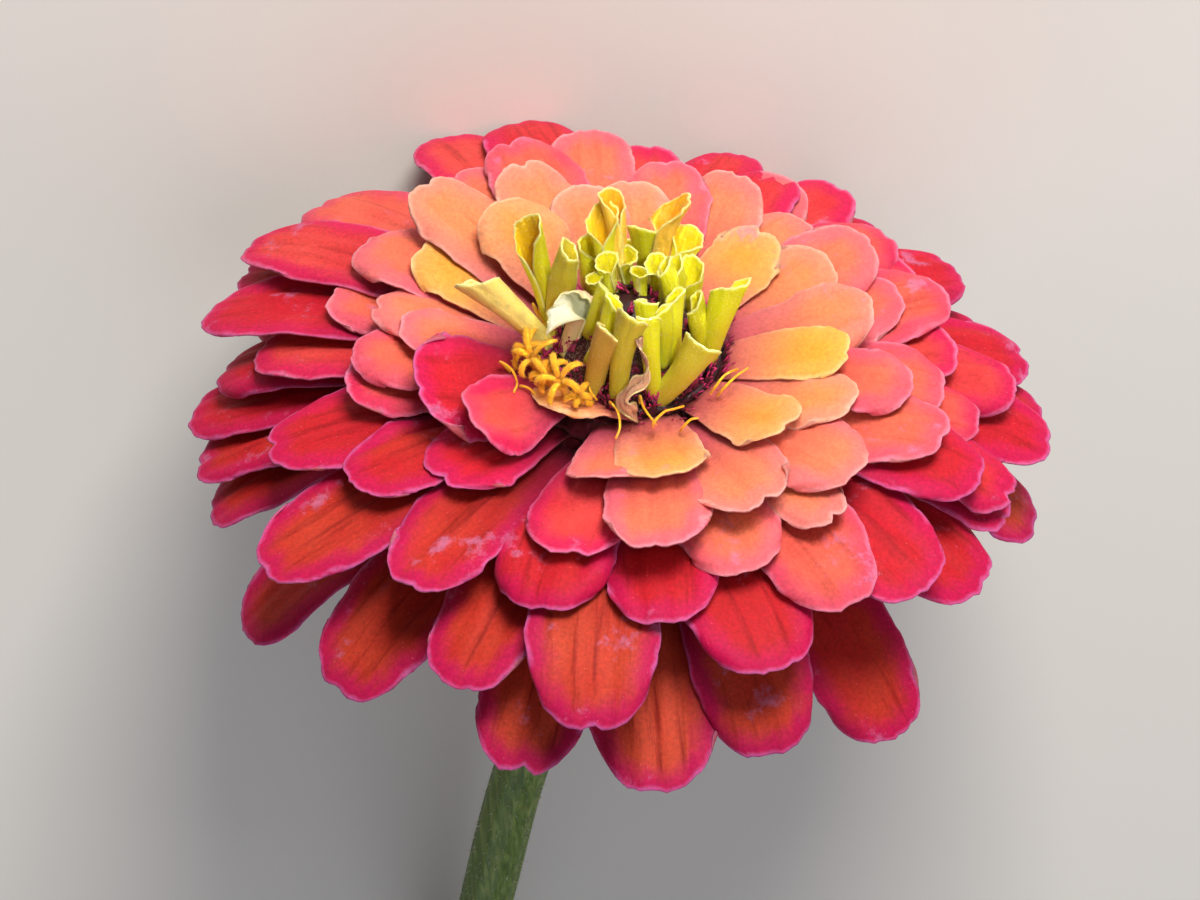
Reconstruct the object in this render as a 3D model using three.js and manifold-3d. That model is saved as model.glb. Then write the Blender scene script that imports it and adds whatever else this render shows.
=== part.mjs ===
// A double zinnia, cut and laid down: it rests on the petals at the back of its bloom and on the stem's cut
// end. Millimetres, +Z up. Every piece is worked out in the bloom's own frame, with the bloom's axis along
// +Z, its face upwards and its origin at the foot of the disc. The whole flower is then tipped over, as it
// lies.

import * as THREE from 'three';
import { mergeVertices } from 'three/addons/utils/BufferGeometryUtils.js';
import Module from 'manifold-3d';

const wasm = await Module();
wasm.setup();
const { Manifold, Mesh: SolidMesh } = wasm;

const degrees = THREE.MathUtils.degToRad;
const mix = THREE.MathUtils.lerp;

// Driving dimensions
const BLOOM_WIDTH = 90;
const BLADE_THICK = 0.6;
const FLESHY_THICK = 0.8; // bracts, chaff and disc lobes
const GAP = 0.3; // between one node and the next
const SMALLEST = 0.15; // smaller edges are left out
const ROUND_SIDES = 16; // of rings and shells
const HALVINGS = 20; // of a step, once a search has passed its goal
const REACH_STEP = 0.5; // of a search along an arch or a line of sight

// How the flower lies: its axis rises this much above the ground, with the foot of the disc this high
const AXIS_RISE = degrees(20);
const DISC_HEIGHT = 44.6;
const PRESS = 0.5; // how far a petal that reaches the ground is pressed into its own tip

// The picture that the petal places were read from: a far camera that looks down on the upright bloom
const PICTURE = {
  mmPerPixel: BLOOM_WIDTH / 836, // the bloom is 836 pixels across
  elevation: degrees(42),
  roll: degrees(3),
  distance: 620,
  discAcross: 632, // pixel of the bloom frame's origin
  discDown: 358,
  depth: 60, // of the bloom, before and behind its origin
};

// Every petal follows the same arch, turned up or down about one point of the axis, so that no two rows
// cross. The arch bends down on its way out: by this angle over this length.
const HUB = { height: -9, root: 12 };
const ARCH = { bend: degrees(15), over: 30, power: 1.25 };

// The fan of angles at which the arches leave the hub, and the rounded heap that their tips end on
const FAN = { highest: degrees(42), lowest: degrees(-12), first: -0.02, last: 0.9 };
const HEAP = { radius: 45.5, above: 17.5, below: 24, middle: -14, power: 2.6 };

// The seat of the petals
const SEAT_RADIUS = 8.2; // the receptacle's barrel
const COLLAR_REACH = 12.8; // from the hub

// The three groups of ray petals, by tier: 0 is the top of the fan and 1 its foot
const GROUPS = [
  { name: 'inner_rays', from: -0.05, to: 0.27 },
  { name: 'middle_rays', from: 0.27, to: 0.5 },
  { name: 'outer_rays', from: 0.5, to: 0.93 },
];
const GROUP_CLEARANCE = 0.04; // no petal's tier comes closer to the edge of its group

// Petals that lie over one another keep their tiers this far apart, less where only their edges meet
const SPREAD = {
  least: 0.07, reach: degrees(25), edge: degrees(9), rounds: 120,
  push: 0.25, // the share of the missing distance that each of two petals gives way in a round
  hold: 0.08, // the share of its way back to its own tier that a petal takes in a round
  nearer: 16, farther: 18, longest: 51,
};
// Each petal is turned a little about its own length, so that its neighbours' edges pass
const TWIST = degrees(3);

// Where each petal's tip is seen, row by row: pixels across, pixels down, the petal's width in millimetres
// and, of some, how many degrees the blade is turned about its length. A row's tier is where its petals
// usually stand in the fan, and its weight is how far that tier counts against the one that the tip's own
// place gives.
const SEEN_ROWS = {
  hanging: {
    tier: 0.8,
    weight: 0.15,
    tips: [
      [240, 634, 11.5], [335, 694, 14], [455, 690, 12], [517, 776, 13], [660, 795, 14], [780, 755, 12.5],
      [902, 738, 12], [206, 512, 11], [197, 468, 11], [985, 590, 13],
    ],
  },
  crimson: {
    tier: 0.55,
    weight: 0.15,
    tips: [
      [587, 730, 14], [264, 575, 14], [405, 588, 12.5], [535, 603, 13], [668, 622, 12.5], [778, 672, 13.5],
      [930, 590, 13.5], [1012, 518, 8], [1019, 492, 9], [266, 452, 13], [347, 482, 11.5], [189, 410, 12],
      [213, 368, 11], [206, 312, 12], [243, 268, 10], [238, 236, 11], [1020, 385, 10], [984, 418, 10],
      [960, 352, 11], [910, 265, 10],
    ],
  },
  coral: {
    tier: 0.38,
    weight: 0.15,
    tips: [
      [434, 474, 12], [566, 556, 11.5], [662, 550, 11.5], [753, 568, 11], [858, 603, 12], [984, 478, 12],
      [252, 350, 11.5], [258, 312, 11], [291, 262, 11.5], [315, 200, 12.5], [342, 384, 10], [349, 350, 10],
      [735, 152, 10], [780, 167, 9], [838, 190, 11], [890, 228, 11], [950, 292, 12], [646, 148, 10],
      [948, 384, 11], [785, 178, 11], [800, 212, 10], [872, 240, 11], [903, 295, 11],
    ],
  },
  farCoral: { tier: 0.25, weight: 0.85, tips: [[440, 139, 11.5], [515, 113, 12]] },
  salmon: {
    tier: 0.2,
    weight: 0.15,
    tips: [
      [672, 477, 10], [765, 507, 11], [858, 472, 11], [836, 522, 8], [948, 440, 11], [603, 482, 9.5],
      [329, 298, 10], [358, 238, 11], [372, 300, 9.5], [398, 322, 9], [510, 136, 10.5], [585, 131, 10.5],
      [450, 169, 10], [672, 158, 10], [738, 172, 10], [914, 384, 9.5],
    ],
  },
  lapped: { tier: 0.26, weight: 0.6, tips: [[831, 260, 11]] },
  raised: { tier: 0.05, weight: 0.7, tips: [[467, 418, 8.5, -28], [412, 386, 12, -26], [540, 408, 7]] },
  apricot: {
    tier: 0.07,
    weight: 0.15,
    tips: [
      [793, 424, 8.5], [851, 345, 8], [856, 400, 9], [874, 300, 10], [768, 230, 9],
      [418, 246, 10], [420, 185, 10], [495, 199, 10], [517, 163, 9.5], [577, 185, 9.5], [633, 178, 9.5],
    ],
  },
};

// The weight of every row's tier at the back, where the rows are seen edge on. It grows from one share of the
// way back to the other.
const BACK = { weight: 0.85, from: 0.6, to: 0.9 };

// Rows at the back of the bloom, which the picture doesn't show: evenly spread from one azimuth to another
const BACK_ROWS = [
  { tier: 0.53, from: -4, to: 132, count: 8, width: 12 },
  { tier: 0.65, from: 6, to: 160, count: 9, width: 12.5 },
  { tier: 0.78, from: -8, to: 172, count: 8, width: 12.5 },
];
const BACK_JITTER = degrees(3);
const BACK_WIDTHS = { least: 0.92, most: 1.06 }; // as a share of the row's width
const SEED = 20260;

// The rolled young rays that crowd the disc. Pixels of the foot and of the lip, the roll's width at its lip
// in millimetres, and how far it leans towards the picture's camera
const ROLLS = [
  // behind
  [614, 262, 611, 190, 2.1, -3], [600, 258, 600, 208, 3, -2], [648, 300, 645, 218, 3, -1],
  [660, 258, 669, 192, 3.4, -4], [680, 266, 690, 228, 3, -3],
  // middle
  [556, 335, 572, 242, 3, 0], [596, 300, 592, 238, 2.5, 0], [615, 300, 618, 244, 2.7, -1],
  [664, 318, 663, 262, 1.9, 0], [672, 312, 675, 262, 2, 0], [689, 312, 693, 264, 2.5, 0],
  // front
  [592, 362, 619, 300, 2.4, 2], [591, 392, 614, 326, 2.8, 3], [616, 403, 633, 306, 2.4, 3],
  [645, 387, 645, 312, 2.3, 3], [650, 362, 648, 296, 2.2, 1], [661, 364, 661, 304, 1.9, 2],
  [674, 362, 672, 291, 2.5, 1], [698, 346, 693, 296, 2.4, 1], [712, 355, 734, 276, 3.8, 1],
  [661, 406, 707, 338, 3.6, 3],
  // left
  [590, 334, 610, 286, 2.2, 1], [566, 352, 588, 288, 2.8, 1], [545, 326, 524, 219, 4, -1],
  [546, 341, 466, 274, 3.8, 0],
];
const ROLL_SIDES = 6;
const ROLL_DEPTH = 2.4; // of the open mouth
const ROLL_WALL = 0.6;
const ROLL_FOOT = 0.65; // of the width at the lip
const ROLL_PIT = { wall: 1.6 * ROLL_WALL, least: 0.2 }; // the mouth's radius at its foot

// The disc's cone, as radius against height, and the parts on it
const CONE = [[8.2, 0], [7.5, 0.6], [7, 2.2], [5.9, 4.6], [4.1, 6.6], [2, 7.7], [0.3, 8.1]];
const SHELL = { thick: 1, foot: 0.9, top: 7.2, lowestRoll: 2.6, highestRoll: 6.6 };
const CHAFF = {
  radius: 9.6, thick: 0.6, foot: 0.5, top: 1.1, tall: 3.6, leans: 0.7, width: 1.7, count: 30,
  clear: 1.35, // of the rolls
  beside: 0.1, // the florets' pad, in radians
};
const SCALE_SHAPE = [[0, 1], [0.55, 0.9], [1, 0.2]]; // share of the height, share of the width
const FLORETS = {
  // Azimuth in degrees and height of each star
  places: [[-168, 4], [-155, 5.2], [-142, 4.6], [-131, 5.3], [-121, 3.7]],
  radius: 10.7, leans: 0.35, lobes: 5, reach: 2.3, waist: 1, droop: 0.5, stalk: 0.7,
  pad: { inner: 9.9, outer: 11, foot: 1.7, top: 2.5, from: degrees(-172), to: degrees(-115) },
};

// The cup of bracts under the bloom: its outer wall as radius against height, and its rows of bracts
const CUP_WALL = [[12.4, -11.2], [12.2, -13], [10.8, -15.6], [8, -18.4], [5.1, -20.6]];
const CUP_BRIM = [8.5, -10.6];
const BRACT_ROWS = [
  { foot: -20.2, tip: -16.2, count: 6, width: 6.6, turn: 0 },
  { foot: -18.6, tip: -13.6, count: 7, width: 8.2, turn: degrees(13) },
  { foot: -16.4, tip: -11.5, count: 8, width: 9, turn: degrees(5) },
];
const BRACT_SHAPE = [[0, 0.7], [0.6, 1], [1, 0.5]]; // share of the length, share of the width
const BRACT_STANDS = { foot: -0.2, tip: 1.15 }; // out of the wall
const BRACT_FACES = -0.45; // how far its outer face looks down

// The underside of the receptacle, as radius against height, and the stem's line down to its cut end. The
// stem leaves the bloom to the left and its end lies on the ground.
const UNDERSIDE = [[8.2, -10.4], [8.1, -13], [7, -15.6], [4.9, -18.6], [3.6, -21]];
const STEM_RADIUS = 3.05;
const STEM_SIDES = 14;
const STEM_STEPS = 14;
const STEM_NECK = 0.25; // of the stem's length, in which it narrows from the receptacle
const STEM_LINE = [[0, 0, -21], [-1.2, 0, -26], [-6.2, 0, -38], [-14.4, 0.3, -60], [-20.2, 0.8, -84]];
const STEM_END = { across: -25.6, along: -112.5 };

// Directions in the bloom's frame
const UP = new THREE.Vector3(0, -Math.cos(AXIS_RISE), Math.sin(AXIS_RISE));
const AXIS = new THREE.Vector3(0, 0, 1);

function seededRandom(seed) {
  let state = seed;
  return () => {
    state = (state + 0x6d2b79f5) | 0;
    let word = Math.imul(state ^ (state >>> 15), 1 | state);
    word = (word + Math.imul(word ^ (word >>> 7), 61 | word)) ^ word;
    return ((word ^ (word >>> 14)) >>> 0) / 4294967296;
  };
}

// Height of a point of the bloom's frame over the ground
function heightOf(point) {
  return DISC_HEIGHT + point.dot(UP);
}

// A point pressed up to the ground where it would go through
function onGround(point) {
  return point.addScaledVector(UP, Math.max(0, -heightOf(point)));
}

function polar(radius, azimuth, height) {
  return new THREE.Vector3(radius * Math.cos(azimuth), radius * Math.sin(azimuth), height);
}

// Reading the picture

const TOWARD_CAMERA = new THREE.Vector3(0, -Math.cos(PICTURE.elevation), Math.sin(PICTURE.elevation));
const PICTURE_RIGHT = new THREE.Vector3(1, 0, 0).applyAxisAngle(TOWARD_CAMERA, -PICTURE.roll);
const PICTURE_UP = new THREE.Vector3().crossVectors(TOWARD_CAMERA, PICTURE_RIGHT);
const EYE = TOWARD_CAMERA.clone().multiplyScalar(PICTURE.distance);

// The direction in which the camera sees a pixel
function sight(across, down) {
  const target = new THREE.Vector3()
    .addScaledVector(PICTURE_RIGHT, (across - PICTURE.discAcross) * PICTURE.mmPerPixel)
    .addScaledVector(PICTURE_UP, (PICTURE.discDown - down) * PICTURE.mmPerPixel);
  return target.sub(EYE).normalize();
}

function seenAt(direction, reach) {
  return EYE.clone().addScaledVector(direction, reach);
}

function outsideHeap(point) {
  const rise = point.z - HEAP.middle;
  const half = rise > 0 ? HEAP.above : HEAP.below;
  const flat = Math.hypot(point.x, point.y) / HEAP.radius;
  return flat ** HEAP.power + (Math.abs(rise) / half) ** HEAP.power - 1;
}

// The first place on a path, from its start to its end, that is past a limit
function firstPast(isPast, start, end, step) {
  for (let place = start; place < end; place += step) {
    if (!isPast(place)) continue;
    let [before, after] = [place - step, place];
    for (let halving = 0; halving < HALVINGS; halving += 1) {
      const middle = (before + after) / 2;
      if (isPast(middle)) after = middle;
      else before = middle;
    }
    return after;
  }
  return null;
}

// The point of the heap that a pixel shows, or the nearest to it on the line of sight
function tipSeenAt(direction) {
  const [near, far] = [PICTURE.distance - PICTURE.depth, PICTURE.distance + PICTURE.depth];
  const miss = (reach) => outsideHeap(seenAt(direction, reach));
  const hit = firstPast((reach) => miss(reach) < 0, near, far, REACH_STEP);
  if (hit !== null) return seenAt(direction, hit);
  let nearest = near;
  for (let reach = near; reach < far; reach += REACH_STEP) {
    if (miss(reach) < miss(nearest)) nearest = reach;
  }
  return seenAt(direction, nearest);
}

// The petals' arches

function bendAt(reach) {
  return ARCH.bend * (Math.max(0, reach - HUB.root) / ARCH.over) ** ARCH.power;
}

// The point of the arch of a tier, at a reach from the hub
function archPoint(tier, azimuth, reach) {
  const angle = mix(FAN.highest, FAN.lowest, tier) - bendAt(reach);
  return polar(reach * Math.cos(angle), azimuth, HUB.height + reach * Math.sin(angle));
}

function reachOf(tip) {
  return Math.hypot(tip.x, tip.y, tip.z - HUB.height);
}

function tierOf(tip) {
  const angle = Math.atan2(tip.z - HUB.height, Math.hypot(tip.x, tip.y)) + bendAt(reachOf(tip));
  return (FAN.highest - angle) / (FAN.highest - FAN.lowest);
}

// Solids

function solidFrom(geometry) {
  const bare = geometry.index ? geometry.toNonIndexed() : geometry.clone();
  for (const name of Object.keys(bare.attributes)) if (name !== 'position') bare.deleteAttribute(name);
  const merged = mergeVertices(bare, 1e-4);
  return new Manifold(new SolidMesh({
    numProp: 3,
    vertProperties: new Float32Array(merged.attributes.position.array),
    triVerts: new Uint32Array(merged.index.array),
  }));
}

function solidFromFaces(points, faces) {
  const geometry = new THREE.BufferGeometry();
  const places = points.flatMap((p) => [p.x, p.y, p.z]);
  geometry.setAttribute('position', new THREE.Float32BufferAttribute(places, 3));
  geometry.setIndex(faces.flat());
  return solidFrom(geometry);
}

// A ring or shell about the bloom's axis, from a closed outline of radius against height
function turned(outline, sides = ROUND_SIDES) {
  const closed = [...outline, outline[0]].map(([radius, height]) => new THREE.Vector2(radius, height));
  return solidFrom(new THREE.LatheGeometry(closed, sides).rotateX(Math.PI / 2));
}

// A solid through rings of points, each seen anticlockwise from where the rings lead, with both ends closed
function lofted(rings) {
  const sides = rings[0].length;
  const points = rings.flat();
  const faces = [];
  for (let ring = 0; ring < rings.length - 1; ring += 1) {
    for (let side = 0; side < sides; side += 1) {
      const [a, b] = [ring * sides + side, ring * sides + ((side + 1) % sides)];
      faces.push([a, b, b + sides], [a, b + sides, a + sides]);
    }
  }
  for (const last of [0, 1]) {
    const start = last * (rings.length - 1) * sides;
    const centre = points.length;
    points.push(rings[last * (rings.length - 1)].reduce((sum, p) => sum.add(p), new THREE.Vector3())
      .divideScalar(sides));
    for (let side = 0; side < sides; side += 1) {
      const [a, b] = [start + side, start + ((side + 1) % sides)];
      faces.push(last ? [centre, a, b] : [centre, b, a]);
    }
  }
  return solidFromFaces(points, faces);
}

// A circle of points about a centre, square to a direction
function circle(centre, direction, radius, sides) {
  const side = new THREE.Vector3(1, 0, 0).cross(direction).normalize().cross(direction).negate().normalize();
  const other = new THREE.Vector3().crossVectors(direction, side).normalize();
  return Array.from({ length: sides }, (_, step) => {
    const angle = (2 * Math.PI * step) / sides;
    return centre.clone().addScaledVector(side, radius * Math.cos(angle))
      .addScaledVector(other, radius * Math.sin(angle));
  });
}

// A thin blade from a surface: rows of middle points from root to tip and a normal for each, with both faces
// split into the same triangles
function bladeFrom(rows, thick) {
  const columns = rows[0].length;
  const count = rows.length * columns;
  const points = [];
  for (const face of [0.5, -0.5]) {
    for (const { point, normal } of rows.flat()) {
      points.push(onGround(point.clone().addScaledVector(normal, face * thick)));
    }
  }
  const faces = [];
  for (let row = 0; row < rows.length - 1; row += 1) {
    for (let column = 0; column < columns - 1; column += 1) {
      const a = row * columns + column;
      const corners = [a, a + columns, a + columns + 1, a + 1];
      for (const [p, q, r] of [[0, 1, 2], [0, 2, 3]]) {
        faces.push([corners[p], corners[q], corners[r]]);
        faces.push([corners[r] + count, corners[q] + count, corners[p] + count]);
      }
    }
  }
  const rim = [];
  for (let column = 0; column < columns; column += 1) rim.push(column);
  for (let row = 1; row < rows.length; row += 1) rim.push(row * columns + columns - 1);
  for (let column = columns - 2; column >= 0; column -= 1) rim.push((rows.length - 1) * columns + column);
  for (let row = rows.length - 2; row > 0; row -= 1) rim.push(row * columns);
  rim.forEach((a, step) => {
    const b = rim[(step + 1) % rim.length];
    faces.push([a, b, b + count], [a, b + count, a + count]);
  });
  return solidFromFaces(points, faces);
}

// Solids that overlap joined in one, with any hollow that the join sealed filled up
function joined(solids) {
  const bodies = Manifold.union(solids).simplify(SMALLEST).decompose();
  return bodies.reduce((largest, body) => (body.volume() > largest.volume() ? body : largest));
}

// Ray petals

const BLADE_ROWS = [0, 0.4, 0.78, 1];
const BLADE_COLUMNS = [-1, -0.45, 0.45, 1];
const CLAW = 0.16; // width at the root, as a share of the full width
const WIDEST = 0.72; // of the way to the tip
const SHOULDER = 1.2; // how late the petal widens
const TIP_NARROWS = 0.2;
const TIP_ROUND = { most: 0.34, share: 0.55 }; // how far the corners of the tip are drawn back, of its length
const TURNED_BY = 0.6; // of the way to the tip
const CUPPED = 0.08; // how far the edges bend down, as a share of half the width

function petalGroup(tier) {
  return GROUPS.find((group) => tier < group.to);
}

function azimuthOf({ tip }) {
  return Math.atan2(tip.y, tip.x);
}

// Pushes apart the tiers of the petals that lie over one another, by as much as their widths overlap
function pushApart(petals) {
  for (const [place, one] of petals.entries()) {
    for (const other of petals.slice(place + 1)) {
      const turn = Math.abs(azimuthOf(one) - azimuthOf(other));
      const apart = Math.min(turn, 2 * Math.PI - turn);
      const need = SPREAD.least * THREE.MathUtils.clamp((SPREAD.reach - apart) / SPREAD.edge, 0, 1);
      const gap = other.tier - one.tier;
      if (Math.abs(gap) >= need) continue;
      const push = SPREAD.push * (need - Math.abs(gap)) * (gap < 0 ? -1 : 1);
      one.tier -= push;
      other.tier += push;
    }
  }
}

// Spreads the petals over the fan, then settles them in their groups
function spreadTiers(petals) {
  const wanted = new Map(petals.map((petal) => [petal, petal.tier]));
  const heldBetween = (petal, from, to) => (
    THREE.MathUtils.clamp(mix(petal.tier, wanted.get(petal), SPREAD.hold), from, to));
  for (let round = 0; round < SPREAD.rounds; round += 1) {
    pushApart(petals);
    for (const petal of petals) petal.tier = heldBetween(petal, FAN.first, FAN.last);
  }
  for (const petal of petals) petal.group = petalGroup(petal.tier);
  for (let round = 0; round < SPREAD.rounds; round += 1) {
    pushApart(petals);
    for (const petal of petals) {
      const { from, to } = petal.group;
      petal.tier = heldBetween(petal, from + GROUP_CLEARANCE, to - GROUP_CLEARANCE);
    }
  }
}

// A petal's tip, once it has slid along its line of sight as near to the petal's tier as it may
function settledTip({ tip, tier, direction }) {
  const step = 0.1;
  const slid = (slide) => tip.clone().addScaledVector(direction, slide);
  let best = 0;
  for (let slide = -SPREAD.nearer; slide <= SPREAD.farther; slide += step) {
    const isLong = reachOf(slid(slide)) > SPREAD.longest;
    if (!isLong && Math.abs(tierOf(slid(slide)) - tier) < Math.abs(tierOf(slid(best)) - tier)) best = slide;
  }
  return slid(best);
}

function seenPetal([across, down, width, turn = 0], row) {
  const direction = sight(across, down);
  const tip = tipSeenAt(direction);
  const behind = THREE.MathUtils.smoothstep(Math.sin(azimuthOf({ tip })), BACK.from, BACK.to);
  const tier = mix(tierOf(tip), row.tier, mix(row.weight, BACK.weight, behind));
  return { tip, width, turn, tier, direction };
}

function seenPetals() {
  return Object.values(SEEN_ROWS).flatMap((row) => row.tips.map((seen) => seenPetal(seen, row)));
}

function backPetals() {
  const random = seededRandom(SEED);
  return BACK_ROWS.flatMap(({ tier, from, to, count, width }) => Array.from({ length: count }, (_, place) => {
    const azimuth = degrees(mix(from, to, place / (count - 1))) + BACK_JITTER * (2 * random() - 1);
    const isOut = (far) => outsideHeap(archPoint(tier, azimuth, far)) > 0;
    const tip = archPoint(tier, azimuth, firstPast(isOut, HUB.root, PICTURE.depth, REACH_STEP));
    const wide = width * mix(BACK_WIDTHS.least, BACK_WIDTHS.most, random());
    return { tip, width: wide, turn: 0, tier, direction: AXIS };
  }));
}

function allPetals() {
  const petals = [...seenPetals(), ...backPetals()];
  spreadTiers(petals);
  return petals.map((petal) => {
    const { tier, group, width, turn } = petal;
    const tip = settledTip(petal);
    const azimuth = azimuthOf({ tip });
    const reach = Math.min(reachOf(tip), SPREAD.longest);
    const isLow = (far) => heightOf(archPoint(tier, azimuth, far)) < -PRESS;
    const lowAt = firstPast(isLow, HUB.root, reach, REACH_STEP);
    return { tier, group, width, turn, azimuth, reach: lowAt ?? reach };
  });
}

// The middle surface of a petal: its arch, cupped across, at s from root to tip and v across
function petalSurface({ tier, azimuth, reach, width, turn }) {
  const across = polar(1, azimuth + Math.PI / 2, 0);
  const long = reach - HUB.root;
  const half = width / 2;
  return (s, v) => {
    const pullback = Math.min(TIP_ROUND.most, (TIP_ROUND.share * half) / long) * v * v * s ** 3;
    const place = HUB.root + long * s * (1 - pullback);
    const point = archPoint(tier, azimuth, place);
    const onward = archPoint(tier, azimuth, place + 0.1).sub(point);
    const normal = onward.cross(across).normalize();
    const rise = Math.sin((Math.min(s / WIDEST, 1) * Math.PI) / 2) ** SHOULDER;
    const past = Math.max(0, (s - WIDEST) / (1 - WIDEST));
    const wide = half * mix(CLAW, 1, rise) * (1 - TIP_NARROWS * past * past);
    const lean = TWIST + degrees(turn) * THREE.MathUtils.smoothstep(s, 0, TURNED_BY);
    const cup = Math.tan(lean) * wide * v - CUPPED * v * v * s * half;
    return point.addScaledVector(normal, cup).addScaledVector(across, wide * v);
  };
}

function surfaceNormal(surface, s, v) {
  const step = 0.02;
  const along = surface(Math.min(s + step, 1), v).sub(surface(Math.max(s - step, 0), v));
  const across = surface(s, Math.min(v + step, 1)).sub(surface(s, Math.max(v - step, -1)));
  return along.cross(across).normalize();
}

function petalSolid(petal) {
  const surface = petalSurface(petal);
  return bladeFrom(BLADE_ROWS.map((s) => BLADE_COLUMNS.map((v) => (
    { point: surface(s, v), normal: surfaceNormal(surface, s, v) }))), BLADE_THICK);
}

// A band of the petals' packed claws, between two angles about the hub and down to the receptacle's barrel
function collar({ from, to }) {
  const edge = (tier, shift) => {
    const angle = mix(FAN.highest, FAN.lowest, tier);
    return [(SEAT_RADIUS + GAP) / Math.cos(angle), COLLAR_REACH].map((reach) => (
      [reach * Math.cos(angle) - shift * Math.sin(angle),
        HUB.height + reach * Math.sin(angle) + shift * Math.cos(angle)]));
  };
  const [innerTop, outerTop] = edge(from, -GAP / 2);
  const [innerFoot, outerFoot] = edge(to, GAP / 2);
  const [, outerMiddle] = edge((from + to) / 2, 0);
  innerTop[0] = SEAT_RADIUS + GAP;
  innerFoot[0] = SEAT_RADIUS + GAP;
  return turned([innerFoot, outerFoot, outerMiddle, outerTop, innerTop]);
}

function rayGroup(petals, group) {
  return joined([collar(group), ...petals.filter((petal) => petal.group === group).map(petalSolid)]);
}

// The disc

function coneRadius(height) {
  const above = CONE.findIndex(([, level]) => level >= height);
  const [[r0, z0], [r1, z1]] = above > 0 ? [CONE[above - 1], CONE[above]] : [CONE[0], CONE[1]];
  return mix(r0, r1, (height - z0) / (z1 - z0));
}

// The foot of a rolled ray: where the line of sight meets the disc, or passes nearest to it
function rollFoot(across, down) {
  const direction = sight(across, down);
  const [depth, step] = [20, 0.1];
  let best = null;
  for (let reach = PICTURE.distance - depth; reach < PICTURE.distance + depth; reach += step) {
    const point = seenAt(direction, reach);
    const height = THREE.MathUtils.clamp(point.z, SHELL.lowestRoll, SHELL.highestRoll);
    const azimuth = Math.atan2(point.y, point.x);
    const foot = polar(coneRadius(height) + GAP + SHELL.thick / 2, azimuth, height);
    const miss = foot.distanceTo(point);
    if (!best || miss < best.miss) best = { miss, foot };
  }
  return best.foot;
}

function rollLines() {
  return ROLLS.map(([footAcross, footDown, lipAcross, lipDown, width, lean]) => {
    const foot = rollFoot(footAcross, footDown);
    const direction = sight(lipAcross, lipDown);
    const reach = (foot.y - lean - EYE.y) / direction.y;
    return { foot, lip: seenAt(direction, reach), width };
  });
}

// A rolled ray: a slim tube with an open mouth, narrow at its foot
function rollSolid({ foot, lip, width }) {
  const direction = lip.clone().sub(foot).normalize();
  const ring = (place, radius) => circle(place, direction, radius, ROLL_SIDES);
  const half = width / 2;
  return lofted([
    ring(foot, half * ROLL_FOOT),
    ring(lip, half),
    ring(lip, half - ROLL_WALL),
    ring(lip.clone().addScaledVector(direction, -ROLL_DEPTH), Math.max(ROLL_PIT.least, half - ROLL_PIT.wall)),
  ]);
}

function youngRays(rolls) {
  const isBetween = (height) => height > SHELL.foot && height < SHELL.top;
  const levels = [SHELL.foot, ...CONE.map(([, height]) => height).filter(isBetween), SHELL.top];
  const wall = (out) => levels.map((height) => [coneRadius(height) + GAP + out, height]);
  const clearCone = CONE.map(([radius, height]) => [radius + GAP, height]);
  const cone = turned([[0, CONE[0][1]], ...clearCone, [0, CONE.at(-1)[1]]]);
  const rays = Manifold.union(rolls.map(rollSolid)).subtract(cone);
  return joined([turned([...wall(SHELL.thick), ...wall(0).reverse()]), rays]);
}

// Pointed maroon scales on a ring, wherever no roll or floret stands
function chaffRing(rolls) {
  const { radius, thick, foot, top, tall, leans, width, count, clear, beside } = CHAFF;
  const [inner, outer] = [radius - thick / 2, radius + thick / 2];
  const solids = [turned([[inner, foot], [outer, foot], [outer, top], [inner, top]])];
  for (let place = 0; place < count; place += 1) {
    const azimuth = (2 * Math.PI * place) / count;
    const out = polar(1, azimuth, 0);
    const side = polar(1, azimuth + Math.PI / 2, 0);
    const low = polar(radius, azimuth, (foot + top) / 2);
    const high = low.clone().addScaledVector(AXIS, tall).addScaledVector(out, leans);
    const shape = SCALE_SHAPE.map(([up, broad]) => ({ middle: low.clone().lerp(high, up), broad }));
    const isNear = (roll, point) => (
      new THREE.Line3(roll.foot, roll.lip).closestPointToPoint(point, true, new THREE.Vector3())
        .distanceTo(point) < clear + roll.width / 2);
    const crowded = rolls.some((roll) => shape.some(({ middle }) => isNear(roll, middle)));
    const behindZero = azimuth - 2 * Math.PI;
    const underFlorets = behindZero > FLORETS.pad.from - beside && behindZero < FLORETS.pad.to + beside;
    if (crowded || underFlorets) continue;
    const rows = shape.map(({ middle, broad }) => [-0.5, 0.5].map((edge) => ({
      point: middle.clone().addScaledVector(side, edge * broad * width), normal: out.clone().negate() })));
    solids.push(bladeFrom(rows, FLESHY_THICK));
  }
  return joined(solids);
}

// A floret's star: five pointed lobes that turn down at their tips, on a short stalk
function floretSolid(azimuth, height) {
  const { radius, leans, lobes, reach, waist, droop, stalk, pad } = FLORETS;
  const foot = polar(radius, azimuth, (pad.foot + pad.top) / 2);
  const outward = polar(leans, azimuth, 1).normalize();
  const centre = foot.clone().addScaledVector(outward, height - foot.z);
  const spokes = circle(new THREE.Vector3(), outward, 1, 2 * lobes);
  const star = (lift) => spokes.map((spoke, step) => centre.clone()
    .addScaledVector(spoke, step % 2 ? waist : reach)
    .addScaledVector(outward, lift - (step % 2 ? 0 : droop)));
  const column = (place, lift) => spokes.map((spoke) => place.clone()
    .addScaledVector(spoke, stalk).addScaledVector(outward, lift));
  return lofted([column(foot, 0), column(centre, -FLESHY_THICK), star(-FLESHY_THICK), star(0)]);
}

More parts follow.
